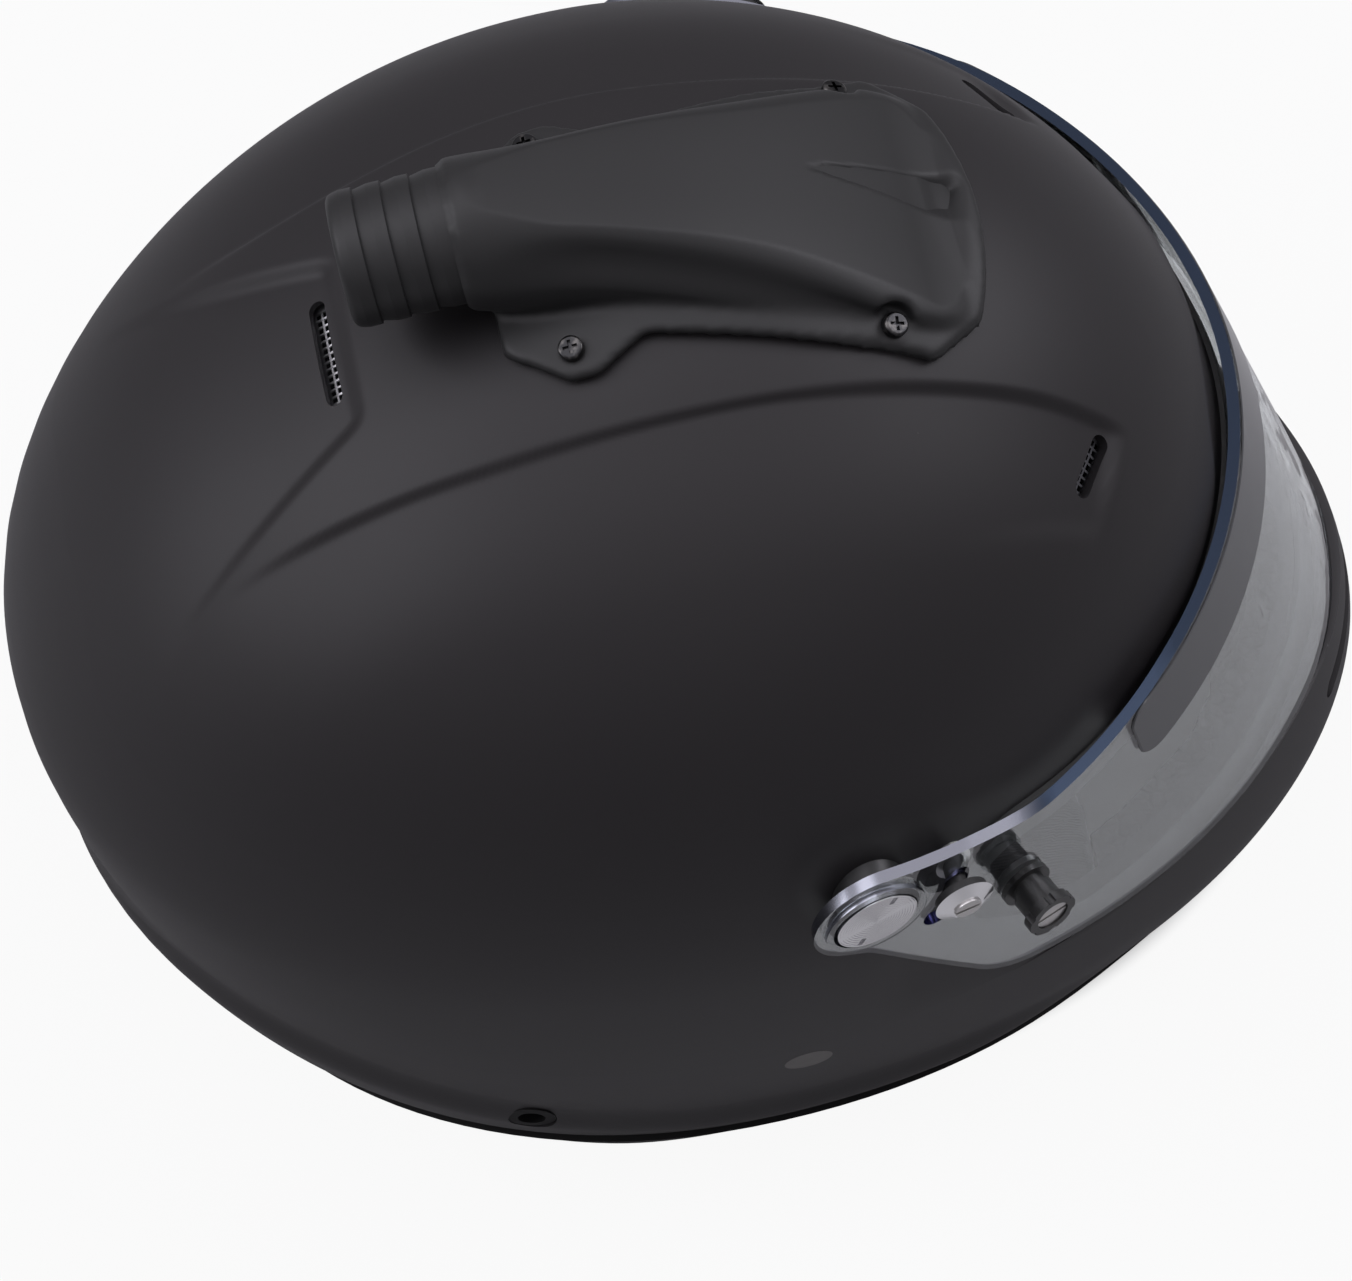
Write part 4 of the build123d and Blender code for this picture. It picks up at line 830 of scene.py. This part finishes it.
def points_of(mesh):
    """Places and normals of a mesh's points as arrays."""
    place = np.empty(len(mesh.vertices) * 3, np.float32)
    normal = np.empty(len(mesh.vertices) * 3, np.float32)
    mesh.vertices.foreach_get("co", place)
    mesh.vertices.foreach_get("normal", normal)
    return place.reshape(-1, 3).astype(float), normal.reshape(-1, 3).astype(float)


def put_back(mesh, place):
    """Moves a mesh's points to these places."""
    mesh.vertices.foreach_set("co", place.astype(np.float32).ravel())
    mesh.update()


def channel(distance):
    """Depth of a sewn channel at a distance d from its seam: e^-(d/w)^2, with soft shoulders."""
    return np.exp(-((distance / channel_half) ** 2))


def upholstered(node, seams):
    """A lining over its foam: the side towards the head swells between its sewn channels."""
    piece = link(f"{node}_soft", solid_copy(f"{node}_soft", node), lining_cloth)
    remeshed(piece, lining_voxel, lining_rounds)
    place, normal = points_of(piece.data)
    inward = np.array(crown_middle) - place
    inward /= np.linalg.norm(inward, axis=1, keepdims=True)
    facing = even((np.sum(inward * normal, axis=1) - 0.2) / 0.6)
    depth = np.max([channel(distance) for distance in seams(place)], axis=0)
    rise = lining_crown * (1 - depth) - channel_depth * depth
    put_back(piece.data, place + normal * (rise * facing)[:, None])
    piece.modifiers.new("fine", "SUBSURF").levels = 1
    piece.modifiers["fine"].render_levels = 1
    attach(piece, "helmet")
    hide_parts(node)


def cap_seams(place):
    """Five panels: a middle strip over the crown, one across it, and a ring above the brow."""
    x, y, z = (place - np.array(crown_middle)).T
    return np.abs(np.abs(x) - cap_seam_side), np.abs(y - cap_seam_back), np.abs(z - cap_seam_up)


def pad_seams(place):
    """Two channels across a cheek pad, and one along it."""
    _, y, z = place.T
    return np.abs(y - pad_seam_front), np.abs(y - pad_seam_rear), np.abs(z - pad_seam_up)


def roll_seams(place):
    """Channels down the roll, evenly spaced round the neck."""
    turn = np.arctan2(place[:, 0], place[:, 1])
    spacing = math.radians(roll_seam_turn)
    off = np.abs((turn / spacing) % 1 - 0.5) * spacing
    return (off * np.hypot(place[:, 0], place[:, 1]),)


upholstered("comfort_liner", cap_seams)
upholstered("cheek_pad_left", pad_seams)
upholstered("cheek_pad_right", pad_seams)
upholstered("neck_roll", roll_seams)

# Chin strap: flat woven polyester webbing, 25 mm wide. The short web is sewn round the two rings'
# bars, and the long one lies across the neck opening with its end folded back.
strap_y = -10.9
strap_half = 12.5
strap_wall = 1.6
strap_steps = 64
strap_corner = 50.0
strap_anchor_level = 74.4
strap_descent = (1.16, 0.8, 0.62, 0.46)
strap_inset = 6.6
strap_turn = (101.0, 28.5)
ring_level = 27.0
bar_radius = 3.2
bars = (44.0, 48.6)
sewn = 24.0
sewn_gap = 0.9
web_bend = 5.0
web_dark = (0.008, 0.008, 0.009, 1)
web_light = (0.028, 0.028, 0.030, 1)
ribs_along = 2300.0
ribs_across = 3600.0
webbing = Shader(bpy.data.materials.new("webbing"))
run = webbing.apart(webbing.node("ShaderNodeTexCoord", output="UV"))
lengthwise = (run[0] * ribs_along).math("SINE")
crosswise = (run[1] * ribs_across).math("SINE")
rib = (lengthwise * crosswise).ramp(-1.0, 1.0)
webbing_cloth = webbing.finish(
    {
        "Base Color": webbing.mix(rib, web_dark, web_light),
        "Roughness": rib * 0.1 + 0.68,
        "Sheen Weight": 0.2,
        "Normal": webbing.bump(rib, 0.0002, 0.7),
    }
)


def bent(corners, radii, steps=6):
    """A line through corners, each rounded by an arc that touches both sides."""
    corners = [np.array(corner, float) for corner in corners]
    line = [corners[0]]
    for before, here, after, radius in zip(corners, corners[1:], corners[2:], radii):
        line += corner_arc(before, here, after, radius, steps)
    return np.array(line + [corners[-1]])


def web(name, node, line, side):
    """Webbing along a line in front view: a flat section with round edges, carried along it."""
    ahead = np.gradient(line, axis=0)
    ahead /= np.linalg.norm(ahead, axis=1, keepdims=True)
    up = np.column_stack([-ahead[:, 1], ahead[:, 0]])
    turn = np.linspace(0, 2 * np.pi, strap_steps, endpoint=False)
    across = np.sign(np.cos(turn)) * np.abs(np.cos(turn)) ** 0.25 * strap_half
    thick = np.sign(np.sin(turn)) * np.abs(np.sin(turn)) ** 0.6 * strap_wall / 2
    flat = line[:, None, :] + up[:, None, :] * thick[None, :, None]
    depth = np.broadcast_to(strap_y + across, flat.shape[:2])
    rows = np.stack([flat[:, :, 0] * side, depth, flat[:, :, 1]], axis=2)
    ends = [np.broadcast_to(rows[end].mean(axis=0), rows[end].shape)[None] for end in (0, -1)]
    mesh = wrapped_mesh(name, np.concatenate([ends[0], rows, ends[1]]))
    far = np.concatenate([[0], np.cumsum(np.linalg.norm(np.diff(line, axis=0), axis=1))])
    far = np.concatenate([far[:1], far, far[-1:]]) * millimetre
    u = np.repeat(far, len(turn))
    v = np.tile(across * millimetre, len(far))
    layer = mesh.uv_layers.new(name="run")
    corner = np.empty(len(mesh.loops), np.int32)
    mesh.loops.foreach_get("vertex_index", corner)
    places = np.column_stack([u[corner], v[corner]])
    layer.data.foreach_set("uv", places.astype(np.float32).ravel())
    piece = link(name, closed(mesh, strap_corner), webbing_cloth)
    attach(piece, "helmet")
    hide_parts(node)


levels = [strap_anchor_level * share for share in strap_descent]
down = [
    (float(form(np.array(np.pi / 2), np.array(level), strap_inset)[0]), level) for level in levels
]
down.append(strap_turn)
over, under = ring_level + sewn_gap, ring_level - sewn_gap
loop_front = bars[0] - bar_radius
short_line = bent(
    down
    + [(84.0, ring_level), (58.0 + sewn * 0.7, over), (56.0, over)]
    + [(bars[1], ring_level + bar_radius), (loop_front, ring_level + bar_radius)]
    + [(loop_front, ring_level - bar_radius), (bars[1], ring_level - bar_radius)]
    + [(56.0, under), (54.5 + sewn, under)],
    [web_bend] * 5 + [20.0, 8.0, 4.0, 3.1, 3.1, 4.0, 8.0],
)
web("chin_strap_short_web", "chin_strap_short", short_line, 1)
long_line = bent(
    down + [(75.0, 16.0), (30.0, 4.4), (-26.0, 3.4), (-26.0, 9.6), (35.0, 9.6)],
    [web_bend] * 6 + [2.9, 2.9],
)
web("chin_strap_long_web", "chin_strap_long", long_line, -1)

# Vent nets: woven steel wire, bonded inside the shell behind its slots. Those of the rear and the
# chin are bright; those of the brow are the same wire, darkened with painted shade.
bright_wire = (0.72, 0.72, 0.73, 1)
# Painted shade: the darker colour given to the brow nets' wire.
wire_painted_shade = (0.16, 0.16, 0.17, 1)


def metal(name, colour, patches, spread, low, metallic=1.0, detail=2.0):
    """A metal finish of one colour, whose roughness wanders a little from low to low + spread."""
    shader = Shader(bpy.data.materials.new(name))
    roughness = shader.noise(patches, detail) * spread + low
    return shader.finish({"Base Color": colour, "Metallic": metallic, "Roughness": roughness})


mesh_steel = metal("mesh_steel", bright_wire, 1500.0, 0.15, 0.25)
# The brow nets: the same steel wire, rougher, and darker in colour as painted shade.
mesh_painted_shade = metal("mesh_painted_shade", wire_painted_shade, 1500.0, 0.15, 0.4)
dress(mesh_steel, "vent_mesh_rear", "vent_mesh_chin")
dress(mesh_painted_shade, "vent_mesh_brow_left", "vent_mesh_brow_right")

# Air inlet: one hollow black moulding with a fine-grained surface, held by four screws in threaded
# inserts. Its body is softened all over and shaped on top, and its turned spigot keeps its edges.
duct_dark = (0.0095, 0.0095, 0.0098, 1)
duct_light = (0.0125, 0.0125, 0.0125, 1)
moulded = Shader(bpy.data.materials.new("duct_plastic"))
pores = moulded.noise(1800.0, 2.0)
duct_plastic = moulded.finish(
    {
        "Base Color": moulded.mix(pores, duct_dark, duct_light),
        "Roughness": pores * 0.1 + 0.46,
        "Specular IOR Level": 0.4,
        "Normal": moulded.bump(pores, 0.00003, 0.5),
    }
)
duct_voxel = 0.0009
duct_rounds = 12
shoulder = Vector((0, 41.0 + axis_shift, 276.3)) * millimetre
spigot_fall = math.radians(5)
spigot_axis = Vector((0, math.cos(spigot_fall), -math.sin(spigot_fall)))
spigot_length = 0.024
spigot_lap = 0.0004
crisp_jump = 0.15
duct_front = -78.5
duct_run = 119.5
duct_low_top = 247.4
duct_climb = 46.4
# The top seen from the side: shares of the run from the front, and of the climb there
climb_points = (
    (0, 0), (0.05, 0.09), (0.15, 0.30), (0.322, 0.575), (0.496, 0.775), (0.661, 0.90),
    (0.826, 0.972), (1, 1)
)
level_front_fade = 0.12
level_rear_fade = 0.2
plateau_drop = 2.8
plateau_give = 0.18
cove_start = 0.1
cove_front_fade = 0.2
cove_end = 0.97
cove_rear_fade = 0.25
cove_depth = 2.4
cove_drop = 15.0
dent_start = -39.6
dent_depth = 3.4
dent_point = 4.4
dent_far_opens = 5.6
dent_near_opens = 9.9
dent_point_fade = 0.3
dent_steep = 0.3
dent_end = 1.02
dent_end_fade = 0.16


def split_off(mesh, place, direction):
    """Keeps the part of a mesh that lies against a direction from a plane."""
    work = bmesh.new()
    work.from_mesh(mesh)
    whole = work.verts[:] + work.edges[:] + work.faces[:]
    bmesh.ops.bisect_plane(work, geom=whole, plane_co=place, plane_no=direction, clear_outer=True)
    work.to_mesh(mesh)
    work.free()
    return mesh


def turned_edges(mesh, place, axis, length):
    """Keeps the edges of turned work crisp: those across which the slope along the axis jumps."""
    work = bmesh.new()
    work.from_mesh(mesh)
    for edge in work.edges:
        if len(edge.link_faces) == 2 and (edge.verts[0].co - place).dot(axis) < length:
            slopes = [face.normal.dot(axis) for face in edge.link_faces]
            edge.smooth = edge.smooth and abs(slopes[0] - slopes[1]) < crisp_jump
    work.to_mesh(mesh)
    work.free()


def duct_top(place):
    """How far along the duct each point lies, 0 to 1, and the height of the plain top there."""
    along = (place[:, 1] / millimetre - axis_shift - duct_front) / duct_run
    return along, duct_low_top + duct_climb * through(climb_points, np.clip(along, 0, 1))


def levelled(place):
    """The top pressed level: what rises above a line along the duct keeps a part of its rise."""
    along, line = duct_top(place)
    fade = even(along / level_front_fade) * even((1 - along) / level_rear_fade)
    above = np.maximum(place[:, 2] / millimetre - line + plateau_drop * fade, 0) * (fade > 0)
    press = above * (1 - plateau_give) * np.minimum(fade * 4, 1)
    return place - np.array([0, 0, millimetre]) * press[:, None]


def coved(place):
    """The sides drawn in under the level top: d sin^2 of the way down, gone at the foot."""
    along, line = duct_top(place)
    fade = even((along - cove_start) / cove_front_fade) * even((cove_end - along) / cove_rear_fade)
    down = np.clip((line - plateau_drop - place[:, 2] / millimetre) / cove_drop, 0, 1)
    draw = cove_depth * np.sin(np.pi * down) ** 2 * fade * np.sign(place[:, 0])
    return place - np.array([millimetre, 0, 0]) * draw[:, None]


def dented(place, normal):
    """A wedge pressed into the top: a point behind, opening forwards, steep on its far side."""
    x, y = place[:, 0] / millimetre, place[:, 1] / millimetre - axis_shift
    ahead = np.clip((dent_start - y) / -dent_start, 1e-3, 1.1)
    far = dent_point + dent_far_opens * ahead
    near = dent_point - dent_near_opens * ahead
    across = (far - x) / (far - near)
    wall = even(across / dent_steep) * np.clip((1 - across) / (1 - dent_steep), 0, 1)
    ends = even(ahead / dent_point_fade) * even((dent_end - ahead) / dent_end_fade)
    depth = dent_depth * wall * ends * (y < dent_start) * even((normal[:, 2] - 0.4) / 0.2)
    return place - np.array([0, 0, millimetre]) * depth[:, None]


duct_body = link("duct_body", solid_copy("duct_body", "top_air_duct"), duct_plastic)
remeshed(duct_body, duct_voxel, duct_rounds)
put_back(duct_body.data, coved(levelled(points_of(duct_body.data)[0])))
put_back(duct_body.data, dented(*points_of(duct_body.data)))
split_off(duct_body.data, shoulder + spigot_axis * spigot_lap, spigot_axis)
spigot_mesh = split_off(solid_copy("duct_spigot", "top_air_duct"), shoulder, -spigot_axis)
spigot = link("duct_spigot", spigot_mesh, duct_plastic)
turned_edges(spigot.data, shoulder, spigot_axis, spigot_length)
for piece in (duct_body, spigot):
    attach(piece, "helmet")
    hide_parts("top_air_duct")

steel_colour = (0.52, 0.51, 0.50, 1)
blacked_colour = (0.030, 0.030, 0.031, 1)
worn_colour = (0.12, 0.115, 0.11, 1)
screw_steel = metal("screw_steel", steel_colour, 700.0, 0.2, 0.28)
dark = Shader(bpy.data.materials.new("dark_screw"))
worn = dark.noise(420.0, 3.0).ramp(0.45, 0.7)
dark_screw = dark.finish(
    {
        "Base Color": dark.mix(worn, blacked_colour, worn_colour),
        "Metallic": 1.0,
        "Roughness": worn * 0.15 + 0.3,
    }
)
dress(dark_screw, "top_air_screws")
dress(screw_steel, "top_air_inserts")

# Visor: clear polycarbonate 3 mm thick with a hard coat, and a dark film across its top. Its cut
# edges gather light: grey round the ears, navy over the brow and violet in the friction slots.
pivot_back = -0.01825
pivot_height = 0.159
rim_starts = (0.45, 0.62)
slot_inner = (0.0150, 0.0165)
slot_outer = (0.0245, 0.0260)
slot_top = (0.1640, 0.1665)
brow_turns_up = (-0.1, 0.2)
brow_ends = (-0.064, -0.052)
clear_colour = (0.90, 0.93, 0.97, 1)
ear_edge_colour = (0.30, 0.31, 0.35, 1)
brow_edge_colour = (0.026, 0.038, 0.062, 1)
slot_colour = (0.06, 0.06, 0.20, 1)
rim_shine = 0.9
rim_roughness = 0.22
polycarbonate_bends = 1.585


def from_pivots(spot):
    """Distance from the pivots' axis, seen from the side: the root of dy^2 + dz^2."""
    return ((spot[1] - pivot_back) ** 2.0 + (spot[2] - pivot_height) ** 2.0) ** 0.5


clear = Shader(bpy.data.materials.new("visor_screen"))
visor_spot = clear.apart(clear.place())
facing = clear.apart(clear.node("ShaderNodeTexCoord", output="Normal"))
reach_out = (visor_spot[0] ** 2.0 + visor_spot[1] ** 2.0) ** 0.5
face_on = (visor_spot[0] * facing[0] + visor_spot[1] * facing[1]) / reach_out
rim = face_on.math("ABSOLUTE").ramp(*rim_starts, 1.0, 0.0)
slot_reach = from_pivots(visor_spot)
in_slot = slot_reach.ramp(*slot_inner) * slot_reach.ramp(*slot_outer, 1.0, 0.0)
in_slot = in_slot * visor_spot[2].ramp(*slot_top, 1.0, 0.0)
brow_edge = facing[2].ramp(*brow_turns_up) * visor_spot[1].ramp(*brow_ends, 1.0, 0.0)
edge_colour = clear.mix(brow_edge, ear_edge_colour, brow_edge_colour)
visor_screen = clear.finish(
    {
        "Base Color": clear.mix(rim, clear_colour, clear.mix(in_slot, edge_colour, slot_colour)),
        "Metallic": rim * rim_shine,
        "Roughness": rim * rim_roughness,
        "IOR": polycarbonate_bends,
        "Transmission Weight": 1.0,
    }
)
dress(visor_screen, "visor")
film_colour = (0.05, 0.052, 0.055, 1)
film = Shader(bpy.data.materials.new("shade_film"))
shade_film = film.finish({"Base Color": film_colour, "Roughness": 0.12, "Specular IOR Level": 0.5})
dress(shade_film, "visor_shade_strip")

# Pivots, friction screws, posts for tear-off films, strap anchors and the head restraint's anchors:
# turned metal parts, bright, plain or blackened. They screw into the shell on both sides.
bright_colour = (0.80, 0.80, 0.81, 1)
black_colour = (0.010, 0.010, 0.010, 1)
# Painted shade: the near-black of the head restraint's anchors, which sit sunk in their holes.
sunk_shade_colour = (0.004, 0.004, 0.004, 1)
cap_colour = (0.10, 0.095, 0.09, 1)
tool_rings = 9000.0
tool_ring_height = 0.06
disc_cone = 97.0
disc_relief = 0.0012
bright_metal = metal("bright_metal", bright_colour, 500.0, 0.08, 0.12, detail=3.0)
black_metal = metal("black_metal", black_colour, 600.0, 0.15, 0.3, metallic=0.0)
anchor_cap = metal("anchor_cap", cap_colour, 300.0, 0.15, 0.4, metallic=0.4)
# The head restraint's anchors: darker than the blackened metal, with a dim sheen; the darker colour
# is painted shade in their holes.
sunk = Shader(bpy.data.materials.new("sunk_metal_painted_shade"))
sunk_metal_painted_shade = sunk.finish(
    {
        "Base Color": sunk_shade_colour,
        "Roughness": sunk.noise(600.0) * 0.1 + 0.6,
        "Specular IOR Level": 0.2,
    }
)
lathe = Shader(bpy.data.materials.new("turned_metal"))
disc_out = from_pivots(lathe.apart(lathe.place()))
rings = (disc_out * tool_rings).math("SINE") * tool_ring_height - disc_out * disc_cone
turned_metal = lathe.finish(
    {
        "Base Color": bright_colour,
        "Metallic": 1.0,
        "Roughness": lathe.noise(500.0, 3.0) * 0.08 + 0.2,
        "Normal": lathe.bump(rings, disc_relief),
    }
)
for end in ("left", "right"):
    dress(turned_metal, f"pivot_disc_{end}")
    dress(bright_metal, f"tension_cup_{end}")
    dress(screw_steel, f"tension_screw_{end}", f"tension_insert_{end}", f"pivot_nut_{end}")
    dress(screw_steel, f"tear_off_screw_{end}", f"tear_off_nut_{end}", f"strap_anchor_{end}")
    dress(black_metal, f"pivot_base_{end}", f"tear_off_post_{end}")
    dress(sunk_metal_painted_shade, f"restraint_anchor_{end}")
    dress(anchor_cap, f"anchor_cap_{end}")
dress(bright_metal, "strap_ring_inner", "strap_ring_outer")
